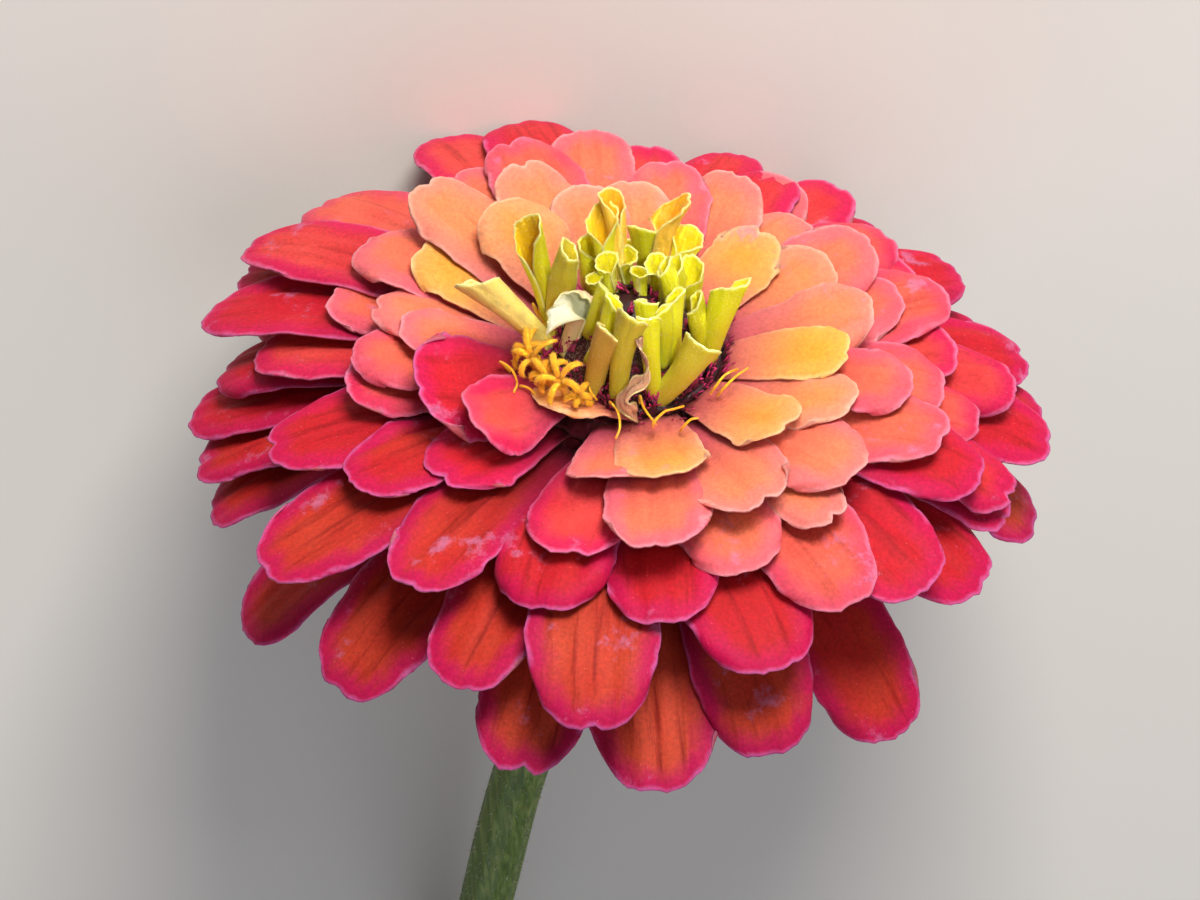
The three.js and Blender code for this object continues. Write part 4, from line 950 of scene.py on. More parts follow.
# The wall that the rolls grow from
WALL_HEIGHTS = np.array([0.9, 1.6, 2.2, 3.4, 4.6, 5.6, 6.6, 7.2])
WALL_SIDES, WALL_FLUTES, WALL_FLUTE_DEEP, WALL_COLOUR = 96, 16, 0.08, "#3d0d18"


def cone_radius(height):
    radii, heights = zip(*CONE)
    return np.interp(height, heights, radii)


def roll_foot(across, down):
    """Where the line of sight meets the disc, or passes nearest to it"""
    direction, depth, step = sight(across, down), 20, 0.1
    places = EYE + direction * np.arange(DISTANCE - depth, DISTANCE + depth, step)[:, None]
    height = np.clip(places[:, 2], LOWEST_ROLL, HIGHEST_ROLL)
    feet = polar(cone_radius(height) + GAP + SHELL_THICK / 2, np.arctan2(places[:, 1], places[:, 0]), height)
    return feet[np.argmin(np.linalg.norm(feet - places, axis=1))]


def rolled_sheet(foot, lip, width, opened, faces, nods, draw):
    """Middle points of a petal rolled about the line from its foot to its lip, and how far along it, s, each
    is. Across it, q goes from -1 to 1. Its mouth is open to the bloom's axis, or faces the azimuth given."""
    s, q = np.meshgrid(np.linspace(0, 1, ROLL_ROWS), np.linspace(-1, 1, ROLL_COLUMNS), indexing="ij")
    line = lip - foot
    axis = unit(line)
    out = -polar(1, math.radians(faces[0]), 0) if faces else foot * (1, 1, 0)
    back = unit(out - axis * (out @ axis))
    side = np.cross(axis, back)

    # The sheet unrolls towards its lip. One edge of it overlaps the other.
    wrap = math.pi * (CLOSED - UNROLLS * opened * ease((s - OPENS_FROM) / (1 - OPENS_FROM)))
    lip_wrap = math.pi * (CLOSED - UNROLLS * opened)
    sheet_width = width / 2 * (1 + 0.25 * opened) * lip_wrap
    sheet_width = sheet_width * (FOOT_NARROW + (1 - FOOT_NARROW) * ease(s / FOOT_OVER))
    way = draw.choice([-1, 1])
    overlap = 1 + way * q * OVERLAP * (1 - 0.7 * ease((s - 0.6) / 0.4))
    lipward = ease((s - LIP_FROM) / (1 - LIP_FROM))
    waves = sum(deep * np.cos(often * q * math.pi + draw.uniform(0, 6)) for often, deep in ROLL_WAVES)
    flare = FLARE * ease((s - FLARE_FROM) / (1 - FLARE_FROM))
    radius = sheet_width / wrap * overlap * (1 + waves * (0.3 + lipward)) + flare
    turn = q * wrap + draw.uniform(-0.35, 0.35) + way * 0.25 * s

    # The lip is cut back towards the sheet's edges. The roll is bowed, and its mouth is flattened. One nods.
    lean_cut = draw.uniform(-0.25, 0.25)
    cut = (0.17 + 0.1 * opened) * np.abs(q - lean_cut) ** 1.7 + 0.014 * np.sin(7 * q + draw.uniform(0, 6))
    place = s * (1 - cut * s ** 3)
    bow = back * draw.uniform(-0.2, 0.5) + side * draw.uniform(-0.5, 0.5)
    middle = foot + line * place[..., None] + bow * np.sin(math.pi * s)[..., None]
    flat = lipward * (0.5 - 0.35 * ease(opened * 1.4))
    round_about = (np.cos(turn) * (1 - flat))[..., None] * back
    round_about = round_about + (np.sin(turn) * (1 + 0.15 * flat))[..., None] * side
    if nods:
        over = np.maximum(0, (s - LIP_FROM) / (1 - LIP_FROM)) ** 2
        middle = middle + (NOD[0] * side + NOD[1] * back + NOD[2] * axis) * over[..., None]
    return middle + round_about * radius[..., None], s


def add_roll(sheet, grid, s, thick, inside, outside, shade):
    edge = edge_distance(grid)
    thick = thick * (ROLL_RIM_THIN + (1 - ROLL_RIM_THIN) * ease(edge / ROLL_RIM_WIDE))
    points, faces = blade(grid, grid_normals(grid), thick)
    hue = np.repeat([linear(inside)[:3], linear(outside)[:3]], edge.size, axis=0) * shade
    steps = [np.arange(count) / step for count, step in zip(grid.shape, FLAT_ROLL_STEPS)]
    flat = np.stack(np.meshgrid(*steps, indexing="ij"), -1).reshape(-1, 2)
    sheet.add(points, faces, flat=np.tile(flat, (2, 1)), hue=hue, edge=np.tile(edge.ravel(), 2),
              along=np.tile(s.ravel(), 2))


def shell_wall(sheet):
    """The dark wall that the rolls grow from, about the disc's cone"""
    azimuth = round_the_axis(WALL_SIDES)
    fluted = WALL_FLUTE_DEEP * np.cos(WALL_FLUTES * azimuth)
    inner = cone_radius(WALL_HEIGHTS) + GAP
    rings = [*zip(inner + SHELL_THICK, WALL_HEIGHTS), *zip(inner[::-1], WALL_HEIGHTS[::-1])]
    points = np.array([polar(radius + fluted, azimuth, height) for radius, height in rings])
    faces = [face[::-1] for face in ring_faces(len(rings), WALL_SIDES)]
    sheet.add(points, faces, hue=np.array(linear(WALL_COLOUR)[:3]), edge=FAR_FROM_RIM, along=1)


def young_sheet():
    sheet = Sheet()
    for number, (foot_x, foot_y, lip_x, lip_y, width, lean, kind, opened, *faces) in enumerate(ROLLS):
        draw = np.random.default_rng([ROLL_SEED, number])
        foot = roll_foot(foot_x, foot_y)
        lip = seen_where(lip_x, lip_y, Y, foot[Y] - lean)
        if foot[Z] < FRONT_FOOT:
            azimuth = math.atan2(foot[1], foot[0])
            foot = polar(cone_radius(SUNK_FOOT) + GAP + SHELL_THICK / 2, azimuth, SUNK_FOOT)
        grid, s = rolled_sheet(foot, lip, width, opened, faces, kind == "pale", draw)
        add_roll(sheet, grid, s, ROLL_THICK, *ROLL_COLOURS[kind], draw.uniform(*ROLL_SHADES))
    for number, (foot_x, foot_y, lip_x, lip_y, width, opened) in enumerate(SMALL_ROLLS):
        draw = np.random.default_rng([ROLL_SEED, len(ROLLS) + number])
        foot = seen_where(foot_x, foot_y, Z, SMALL_ROLL_HEIGHT)
        lip = seen_where(lip_x, lip_y, Y, foot[Y])
        grid, s = rolled_sheet(foot, lip, width, opened, [draw.uniform(*SMALL_ROLLS_FACE)], False, draw)
        add_roll(sheet, grid, s, ROLL_THICK, *ROLL_COLOURS["lime"], draw.uniform(*ROLL_SHADES))
    grid, s = withered_grid()
    add_roll(sheet, grid, s * 0.5 + 0.5, WITHERED_THICK, *WITHERED_COLOURS, 1)
    shell_wall(sheet)
    return sheet


# A withered floret among the rolls: pixels of its middle line, and how far in front of the axis each is

WITHERED = [(639, 338, 11), (642, 352, 11.6), (647, 366, 12), (643, 379, 12.3), (631, 389, 12.6),
            (625, 401, 12.6), (632, 412, 12.5), (637, 420, 12.1)]
WITHERED_WIDE, WITHERED_ROWS, WITHERED_COLUMNS, FOLDED_IN = 1.1, 60, 13, 1.25
WITHERED_COLOURS = ("#b07a60", "#c89678")


def withered_grid():
    """A limp ribbon, folded in along its length, twisted and crinkled"""
    hits = [seen_where(across, down, Y, -front) for across, down, front in WITHERED]
    line, directions = smooth_line(hits, WITHERED_ROWS)
    s, q = np.meshgrid(np.linspace(0, 1, WITHERED_ROWS), np.linspace(-1, 1, WITHERED_COLUMNS), indexing="ij")
    side = unit(np.cross(directions, TOWARD_CAMERA))
    front = np.cross(side, directions)
    swing = 1.6 * np.sin(7 * s) + 0.4
    wide = 0.4 + 0.6 * ease(s * 1.25) - 0.5 * ease((s - 0.8) / 0.2) + 0.14 * np.sin(19 * s)
    wide = wide * WITHERED_WIDE
    across = wide * np.sin(FOLDED_IN * q) * np.cos(swing)
    deep = wide * (1 - np.cos(FOLDED_IN * q)) * -0.8 + wide * np.sin(FOLDED_IN * q) * np.sin(swing)
    deep = deep + 0.2 * np.cos(9 * q + 5 * s) + 0.12 * np.sin(34 * s + 3 * q)
    return line[:, None] + side[:, None] * across[..., None] + front[:, None] * deep[..., None], s


def young_skin():
    """Firm young petal: waxy and a little see-through, gold inside and lime outside, with a pale thick lip,
    green at the foot, and dots of dew-like cells, bumped, with pale glints painted on them"""
    material, tree, place = new_material("Young petal skin")
    colour = add(tree, "ShaderNodeAttribute", {"attribute_name": "hue"}).outputs["Color"]
    along, edge = (
        add(tree, "ShaderNodeAttribute", {"attribute_name": label}).outputs["Fac"]
        for label in ("along", "edge"))
    on_foot = add(tree, "ShaderNodeMapRange", {}, {
        "Value": along, "From Min": 0, "From Max": 0.5, "To Min": 0.5, "To Max": 0}).outputs[0]
    stains = add(tree, "ShaderNodeTexNoise", {}, {
        "Vector": place, "Scale": 1 / (2.2 * MM), "Detail": 4}).outputs["Fac"]
    on_stain = add(tree, "ShaderNodeMapRange", SMOOTH, {
        "Value": stains, "From Min": 0.55, "From Max": 0.75, "To Min": 0, "To Max": 0.3}).outputs[0]
    on_lip = add(tree, "ShaderNodeMapRange", SMOOTH, {
        "Value": edge, "From Min": 0.02, "From Max": 0.3, "To Min": 0.7, "To Max": 0}).outputs[0]
    cells = add(tree, "ShaderNodeTexVoronoi", {}, {
        "Vector": place, "Scale": 1 / (0.28 * MM)}).outputs["Distance"]
    dots = add(tree, "ShaderNodeMapRange", {}, {
        "Value": cells, "From Min": 0.1, "From Max": 0.5, "To Min": 1, "To Max": 0}).outputs[0]
    # The pale colour on the cells' dots is painted glints
    on_glint_dot = add(tree, "ShaderNodeMath", TIMES, {0: dots, 1: 0.16}).outputs[0]
    for share, other in [
            (on_foot, "#b6c02c"), (on_stain, "#a08a36"), (on_lip, "#ece8a4"), (on_glint_dot, "#f6f2c0")]:
        colour = add(tree, "ShaderNodeMix", COLOURS, {
            SHARE: share, FIRST: colour, SECOND: linear(other)}).outputs[MIXED]
    bump = add(tree, "ShaderNodeBump", {}, {"Height": dots, "Strength": 0.35, "Distance": 0.12 * MM})
    end_material(tree, {
        "Base Color": colour, "Normal": bump.outputs["Normal"], "Roughness": 0.48, "Specular IOR Level": 0.4,
        "Subsurface Weight": 0.22, "Subsurface Radius": (1, 0.9, 0.25), "Subsurface Scale": 0.9 * MM})
    return material


def plain_skin(name, colours, patch, roughness, subsurface=0.1, sheen=0.0, grain=0.3):
    """A skin of two colours in patches, given in millimetres, with a fine grain"""
    material, tree, place = new_material(name)
    noise = add(tree, "ShaderNodeTexNoise", {}, {
        "Vector": place, "Scale": 1 / (patch * MM), "Detail": 4, "Roughness": 0.6}).outputs["Fac"]
    share = add(tree, "ShaderNodeMapRange", {}, {
        "Value": noise, "From Min": 0.35, "From Max": 0.65}).outputs[0]
    colour = add(tree, "ShaderNodeMix", COLOURS, {
        SHARE: share, FIRST: linear(colours[0]), SECOND: linear(colours[1])}).outputs[MIXED]
    fine = add(tree, "ShaderNodeTexNoise", {}, {
        "Vector": place, "Scale": 1 / (grain * MM), "Detail": 2}).outputs["Fac"]
    bump = add(tree, "ShaderNodeBump", {}, {"Height": fine, "Strength": 0.4, "Distance": 0.15 * MM})
    end_material(tree, {
        "Base Color": colour, "Normal": bump.outputs["Normal"], "Roughness": roughness,
        "Subsurface Weight": subsurface, "Subsurface Scale": 1 * MM, "Sheen Weight": sheen})
    return material


HAIR = hair_item("one_hair", 0.05)
WOOL = hair_item("one_tuft", 0.09)
# Hair of a plant: colourless, so it shows as pale glints against the skin
PALE_HAIR = plain_skin("Pale plant hair", ("#e9ebc4", "#f4f2de"), 2, 0.4, subsurface=0.3)

young = young_sheet()
young_hairs = grown("young_hairs", SCATTERED, young.mesh("young_hair_ground"), {
    "Item": HAIR, "Density": 1.6 / MM ** 2, "Smallest": 0.16, "Largest": 0.34, "Lean": 0.4, "Seed": 5,
    "Skin": PALE_HAIR})
lay_down("young_rays_rolls", young.mesh("young_rays_rolls"), "young_rays", young_skin())
lay_down("young_rays_hairs", young_hairs, "young_rays")

# Disc florets: small golden stars whose lobes bend back, all fuzz

# Azimuth in degrees, height of the star, and its size, of each floret
FLORET_PLACES = [(-168, 4, 0.75), (-155, 5.2, 1), (-142, 4.6, 0.9), (-131, 5.3, 1), (-121, 3.7, 0.5)]
FLORET_RADIUS, FLORET_LEANS, FLORET_LOBES, FLORET_FOOT = 10.7, 0.35, 5, 2.1
LOBE_LONG, LOBE_WIDE, LOBE_THICK, LOBE_ROWS, LOBE_COLUMNS = 3.4, 0.66, 0.4, 8, 5
STALK_RINGS, STALK_SIDES = [(0, 0.42), (0.5, 0.38), (0.8, 0.5), (0.97, 0.75), (1, 0.5), (0.94, 0.2)], 12
FLORET_SEED = 44
PAD_ENDS, PAD_STEPS = (-172, -115), 22  # degrees
PAD_OUTLINE = [(9.9, 1.7), (9.9, 2.3), (10.2, 2.5), (10.8, 2.4), (11, 1.7)]


def floret(sheet, azimuth, height, size, draw):
    foot = polar(FLORET_RADIUS, azimuth, FLORET_FOOT)
    out = unit(polar(FLORET_LEANS, azimuth, 1))
    side = unit(np.cross(out, (0.3, 1, 0)))
    other = np.cross(out, side)
    centre = foot + out * (height - FLORET_FOOT)
    angle = round_the_axis(STALK_SIDES)
    circle = np.cos(angle)[:, None] * side + np.sin(angle)[:, None] * other
    stalk = np.array([foot + (centre - foot) * share + circle * radius for share, radius in STALK_RINGS])
    faces = [face[::-1] for face in grid_faces(len(STALK_RINGS), STALK_SIDES, closed=True)]
    corners = list(range(stalk.size // 3))
    sheet.add(stalk, faces + [corners[STALK_SIDES - 1::-1], corners[-STALK_SIDES:]])

    s, v = np.meshgrid(np.linspace(0, 1, LOBE_ROWS), np.linspace(-1, 1, LOBE_COLUMNS), indexing="ij")
    wide = LOBE_WIDE / 2 * (0.75 + 0.4 * np.sin(math.pi * s * 0.8)) * np.sqrt(1 - 0.8 * s ** 4)
    thick = LOBE_THICK * (1 - 0.6 * v * v) * (1 - 0.5 * s ** 3)
    for lobe in range(FLORET_LOBES):
        turn = 2 * math.pi * (lobe + draw.uniform(-0.12, 0.12)) / FLORET_LOBES + azimuth
        reach = np.cos(turn) * side + np.sin(turn) * other
        edge = np.cross(out, reach)
        step, bend = size * LOBE_LONG * draw.uniform(0.72, 1.12) / (LOBE_ROWS - 1), draw.uniform(1.7, 3.4)
        slope = draw.uniform(1, 1.5) - bend * s
        flat, rise = np.cumsum(np.cos(slope), 0) * step, np.cumsum(np.sin(slope), 0) * step
        grid = (centre + reach * (0.3 + flat)[..., None] + out * (rise - 0.1 * v * v)[..., None]
                + edge * (wide * v)[..., None])
        sheet.add(*blade(grid, grid_normals(grid), thick))


def floret_pad(sheet):
    """The curved pad that the florets stand on"""
    azimuth = np.radians(np.linspace(*PAD_ENDS, PAD_STEPS))
    points = np.array([polar(radius, azimuth, height) for radius, height in PAD_OUTLINE])
    last = (len(PAD_OUTLINE) - 1) * PAD_STEPS
    faces = grid_faces(len(PAD_OUTLINE), PAD_STEPS)
    faces += [(step, step + 1, last + step + 1, last + step) for step in range(PAD_STEPS - 1)]
    end = list(range(0, last + 1, PAD_STEPS))
    sheet.add(points, faces + [end[::-1], [corner + PAD_STEPS - 1 for corner in end]])


gold = Sheet()
for number, (azimuth, height, size) in enumerate(FLORET_PLACES):
    floret(gold, math.radians(azimuth), height, size, np.random.default_rng([FLORET_SEED, number]))
floret_pad(gold)

# Pollen and fuzz scatter the light, so the florets look soft and deep yellow
GOLD_FUZZ = plain_skin(
    "Golden floret fuzz", ("#f7a808", "#ffc31c"), 0.8, 0.8, subsurface=0.2, sheen=0.15, grain=0.16)
gold_hairs = grown("gold_hairs", SCATTERED, gold.mesh("gold_hair_ground"), {
    "Item": WOOL, "Density": 34 / MM ** 2, "Smallest": 0.16, "Largest": 0.32, "Lean": 0.5, "Seed": 8,
    "Skin": GOLD_FUZZ})
lay_down("disc_florets_stars", gold.mesh("disc_florets_stars"), "disc_florets", GOLD_FUZZ)
lay_down("disc_florets_fuzz", gold_hairs, "disc_florets")

# Styles: golden threads that wind between the petals' claws. Of each, its height and the pixels on its way.

STYLES = [
    (3.2, [(500, 362), (512, 370), (517, 382), (514, 392)]), (2.6, [(520, 386), (530, 389), (538, 398)]),
    (3, [(610, 402), (618, 412), (620, 426), (616, 438)]),
    (3.4, [(640, 396), (644, 408), (651, 418), (656, 424)]),
    (3.6, [(654, 422), (664, 412), (674, 409), (684, 406)]),
    (3.4, [(716, 386), (722, 378), (730, 372), (738, 369)]),
    (3.2, [(724, 388), (734, 378), (748, 368)]), (3.2, [(590, 384), (591, 392), (597, 400)]),
    (4.2, [(533, 304), (537, 314), (546, 324)]), (4.2, [(541, 300), (540, 312), (546, 328)]),
    (3, [(684, 426), (690, 420), (698, 418)]),
]
STYLE_THICK, STYLE_STEPS, STYLE_WAVE, STYLE_INWARD, STYLE_SUNK = 0.15, 24, 0.5, 0.93, 1.6


def paths(name, lines, tapers):
    """Lines as edges, with how thick the stalk along them is at each point"""
    count = len(lines[0])
    edges = [(count * line + k, count * line + k + 1) for line in range(len(lines)) for k in range(count - 1)]
    mesh = bpy.data.meshes.new(name)
    mesh.from_pydata(np.concatenate(lines) * MM, edges, [])
    mesh.attributes.new("taper", "FLOAT", "POINT").data.foreach_set("value", np.concatenate(tapers))
    return mesh


def style_lines():
    lines = []
    for height, pixels in STYLES:
        hits = [seen_where(across, down, Z, height + STYLE_WAVE * math.sin(2.1 * number))
                for number, (across, down) in enumerate(pixels)]
        foot = hits[0] * (STYLE_INWARD, STYLE_INWARD, 1) - (0, 0, STYLE_SUNK)
        lines.append(smooth_line([foot, *hits], STYLE_STEPS)[0])
    return paths("style_lines", lines, [np.linspace(1.1, 0.8, STYLE_STEPS)] * len(lines))


styles = grown("styles", STALKS, style_lines(), {
    "Thick": STYLE_THICK * MM, "Sides": 8, "Ribs": 0, "Rib depth": 0.0, "Skin": GOLD_FUZZ})
lay_down("disc_florets_styles", styles, "disc_florets")

# Chaff: pointed scales with ragged edges, between the florets and on the disc's cone

CHAFF_RINGS = [  # radius, foot, height, width, lean out, count, turn
    (9.6, 0.3, 2.5, 1.5, 0.5, 30, 0), (9.1, 0.5, 2.9, 1.3, 0.2, 34, 0.08),
    (10.3, -0.2, 1.9, 1.3, 0.7, 30, 0.04), (11, -0.8, 1.7, 1.2, 0.9, 24, 0.1),
]
SCALE_TEETH, TOOTH_HALF_WIDTHS = [-0.85, -0.4, 0.05, 0.5, 0.9], np.array([0.16, 0.12, 0.03])
FRINGE, SCALE_THICK, TOOTH_THICK, SCALE_HOLLOW = 0.42, 0.2, 0.14, 0.3
CHAFF_OUTLINE, CHAFF_SIDES = [(9.3, 1.1), (9.6, 1.15), (9.95, 0.9), (9.9, 0.5), (9.3, 0.5)], 72
CROWN_SIDES, CROWN_HEIGHTS, CROWN_CLEAR = 48, [5.2, 6.2, 7.2, 7.9], 0.05
FOOT_HEIGHTS = np.linspace(1, 7, 7)


def scale_shape(radius, foot, tall, width, lean):
    """One scale at azimuth 0: a blade whose end is torn into a fringe"""
    s, v = np.meshgrid(np.linspace(0, 1 - FRINGE, 4), np.linspace(-1, 1, 6), indexing="ij")
    wide = (0.75 + 0.3 * s) * width / 2
    grid = np.stack([radius + lean * s ** 2 - SCALE_HOLLOW * v * v, wide * v, foot + tall * s], -1)
    sheet = Sheet()
    sheet.add(*blade(grid, grid_normals(grid), SCALE_THICK), tip=np.tile(s.ravel() * 0.6, 2))
    t = np.array([-0.3, 0.4, 1.0])
    across = np.outer(TOOTH_HALF_WIDTHS, [-1, 1])
    for number, tooth in enumerate(SCALE_TEETH):
        root = (radius + lean * (1 - FRINGE) ** 2 - SCALE_HOLLOW * tooth ** 2, 0.9 * wide[-1, -1] * tooth, 0)
        leaves = np.outer(t, (0.25 + 0.5 * lean, 0.5 * tooth, 0))
        bends = np.outer(t ** 2, (0.3 * math.sin(3 * number), 0.3 * math.cos(5 * number), 0))
        middle = root + leaves + bends
        long = tall * FRINGE * (0.75 + 0.5 * math.cos(2.4 * number))
        middle[:, Z] = foot + tall * (1 - FRINGE) + long * t
        grid = middle[:, None] + np.stack([0 * across, across, 0 * across], -1)
        sheet.add(*blade(grid, grid_normals(grid), TOOTH_THICK), tip=np.tile(np.repeat(0.6 + 0.4 * t, 2), 2))
    return sheet.mesh("scale")


def chaff_base():
    """The maroon ring that the scales stand on"""
    azimuth = round_the_axis(CHAFF_SIDES)
    points = np.array([polar(radius, azimuth, height) for radius, height in CHAFF_OUTLINE])
    sheet = Sheet()
    sheet.add(points, ring_faces(len(CHAFF_OUTLINE), CHAFF_SIDES), tip=0)
    return sheet.mesh("chaff_base")


def scale_ground():
    """The cone's top and the outside of the rolls' wall, for small scales to grow on"""
    azimuth = round_the_axis(CROWN_SIDES)
    sheet = Sheet()
    for heights, clear in ((CROWN_HEIGHTS, CROWN_CLEAR), (FOOT_HEIGHTS, GAP + SHELL_THICK)):
        points = np.array([polar(cone_radius(height) + clear, azimuth, height) for height in heights])
        sheet.add(points, [face[::-1] for face in grid_faces(len(heights), CROWN_SIDES, closed=True)])
    return sheet.mesh("scale_ground")


def scale_skin():
    """Dry scale: matt and thin, dark maroon at the foot and bright magenta where its fringe catches light,
    a painted highlight that also comes and goes in patches 3 mm across
    """
    material, tree, place = new_material("Dry maroon scale")
    tip = add(tree, "ShaderNodeAttribute", {"attribute_name": "tip"}).outputs["Fac"]
    noise = add(tree, "ShaderNodeTexNoise", {}, {
        "Vector": place, "Scale": 1 / (3 * MM), "Detail": 3}).outputs["Fac"]
    # Patches of painted light, 3 mm across, added to the painted highlight towards the tip
    light = add(tree, "ShaderNodeMath", TIMES_PLUS, {0: noise, 1: 2.4, 2: -1.3}).outputs[0]
    height = add(tree, "ShaderNodeMath", PLUS, {0: light, 1: tip}).outputs[0]
    colour = add(tree, "ShaderNodeValToRGB", {
        "stops": [(0.1, "#2c0612"), (0.5, "#5c0c28"), (0.8, "#981448"), (1, "#c02870")]}, {"Fac": height})
    end_material(tree, {
        "Base Color": colour.outputs["Color"], "Roughness": 0.6, "Subsurface Weight": 0.15,
        "Subsurface Scale": 0.6 * MM})
    return material


MAROON = scale_skin()
lay_down("chaff_ring", chaff_base(), "chaff", MAROON)
for number, (radius, foot, tall, width, lean, count, turn) in enumerate(CHAFF_RINGS):
    ring = grown("chaff", RING, scale_shape(radius, foot, tall, width, lean), {
        "Count": count, "Turn": turn, "Jitter": 0.08, "Smallest": 0.92, "Largest": 1.05, "Seed": 60 + number,
        "Skin": MAROON})
    lay_down(f"chaff_scales_{number}", ring, "chaff")
SMALL_SCALE = new_object("small_scale", scale_shape(0, -0.2, 1, 0.55, 0.1))
SMALL_SCALE.hide_render = True
crown = grown("crown", SCATTERED, scale_ground(), {
    "Item": SMALL_SCALE, "Density": 0.5 / MM ** 2, "Smallest": 0.8, "Largest": 1.6, "Lean": 0.45, "Seed": 21,
    "Skin": MAROON})
lay_down("chaff_crown", crown, "chaff")

# The cup of bracts under the bloom

CUP_WALL = [(12.4, -11.2), (12.2, -13), (10.8, -15.6), (8, -18.4), (5.1, -20.6)]
CUP_INSIDE = [(4.2, -20.6), (5.2, -18.6), (7.3, -15.6), (8.4, -13), (8.5, -10.6)]
CUP_SIDES = 96
# Of each row of bracts: height of foot and tip, count, width and turn
BRACT_ROWS = [(-20.2, -15.9, 6, 7.4, 0), (-18.6, -13.2, 7, 9, 0.227), (-16.4, -11, 8, 10, 0.087)]
BRACT_THICK, BRACT_RIM_THIN, BRACT_RIM_WIDE = 0.55, 0.45, 1.2
BRACT_OUTLINE = ([0, 0.35, 0.75, 1], [0.66, 0.95, 1, 0.8])  # along it, and its share of the full width


def cup_radius(height):
    radii, heights = zip(*CUP_WALL)
    return np.interp(height, heights[::-1], radii[::-1])


def cup_body():
    azimuth, outline = round_the_axis(CUP_SIDES), CUP_WALL + CUP_INSIDE
    points = np.array([polar(radius, azimuth, height) for radius, height in outline])
    sheet = Sheet()
    sheet.add(points, ring_faces(len(outline), CUP_SIDES), edge=FAR_FROM_RIM)
    return sheet.mesh("involucre_cup")


def bract_shape(foot, tip, width):
    """One bract at azimuth 0, laid on the cup: broad and blunt, its tip standing off a little"""
    s, v = np.meshgrid(1 - (1 - np.linspace(0, 1, 14)) ** 1.4, np.linspace(-1, 1, 13), indexing="ij")
    pull = 0.36 * (1 - np.sqrt(1 - 0.97 * v * v)) * s ** 2
    height = foot + (tip - foot) * s * (1 - pull)
    wide = width / 2 * np.interp(s, *BRACT_OUTLINE)
    stands = -0.2 + 1.35 * s ** 1.5 - 0.25 * v ** 2 * s + 0.12 * np.cos(7 * v) * s
    radius = cup_radius(height) + stands
    grid = polar(radius, wide * v / radius, height)
    edge = edge_distance(grid)
    thick = BRACT_THICK * (BRACT_RIM_THIN + (1 - BRACT_RIM_THIN) * ease(edge / BRACT_RIM_WIDE))
    points, faces = blade(grid, -grid_normals(grid), thick)
    sheet = Sheet()
    sheet.add(points, [face[::-1] for face in faces], edge=np.tile(edge.ravel(), 2))
    return sheet.mesh("bract")


def bract_skin():
    """Bract skin: matt olive green, dry and dark brown at its ragged rim"""
    material, tree, place = new_material("Green bract skin")
    edge = add(tree, "ShaderNodeAttribute", {"attribute_name": "edge"}).outputs["Fac"]
    noise = add(tree, "ShaderNodeTexNoise", {}, {
        "Vector": place, "Scale": 1 / (1.5 * MM), "Detail": 5}).outputs["Fac"]
    inward = add(tree, "ShaderNodeMath", TIMES_PLUS, {0: noise, 1: 1.2, 2: edge}).outputs[0]
    on_rim = add(tree, "ShaderNodeMapRange", SMOOTH, {
        "Value": inward, "From Min": 0.6, "From Max": 1.15, "To Min": 0.9, "To Max": 0}).outputs[0]
    colour = linear("#4f6a24")
    for share, other in [(noise, "#7d8f40"), (on_rim, "#3a2016")]:
        colour = add(tree, "ShaderNodeMix", COLOURS, {
            SHARE: share, FIRST: colour, SECOND: linear(other)}).outputs[MIXED]
    bump = add(tree, "ShaderNodeBump", {}, {"Height": noise, "Strength": 0.4, "Distance": 0.2 * MM})
    end_material(tree, {"Base Color": colour, "Normal": bump.outputs["Normal"], "Roughness": 0.62})
    return material


BRACT_SKIN = bract_skin()
lay_down("involucre_cup", cup_body(), "involucre", BRACT_SKIN)
for number, (foot, tip, count, width, turn) in enumerate(BRACT_ROWS):
    ring = grown("bracts", RING, bract_shape(foot, tip, width), {
        "Count": count, "Turn": turn, "Jitter": 0.04, "Smallest": 0.99, "Largest": 1.01, "Seed": 80 + number,
        "Skin": BRACT_SKIN})
    lay_down(f"involucre_bracts_{number}", ring, "involucre")

# The stem, grown as one with the receptacle and the disc's cone

UNDERSIDE = [(8.2, -10.4), (8.1, -13), (7, -15.6), (4.9, -18.6), (4, -21)]
STEM_RADIUS, NECK_RADIUS, STEM_NECK = 3.05, 4, 0.2
STEM_LINE = [(0, 0, -21), (-1.2, 0, -26), (-6.2, 0, -38), (-14.4, 0.3, -60), (-20.2, 0.8, -84)]
STEM_END_ACROSS, STEM_END_ALONG = -25.6, -112.5
STEM_SIDES, STEM_RINGS, STEM_RIBS, RIB_DEPTH = 64, 150, 10, 0.03
PITH_RADIUS, PITH_OUT, PITH_IN, CONE_RINGS = 1.7, 0.15, 0.3, 30


def stem_line():
    """The stem's middle line, down to where its cut end lies on the ground"""
    end_height = (DISC_HEIGHT + STEM_END_ALONG * UP[2] - STEM_RADIUS * math.cos(AXIS_RISE) + PRESS) / -UP[1]
    return smooth_line([*STEM_LINE, (STEM_END_ACROSS, end_height, STEM_END_ALONG)], STEM_RINGS)


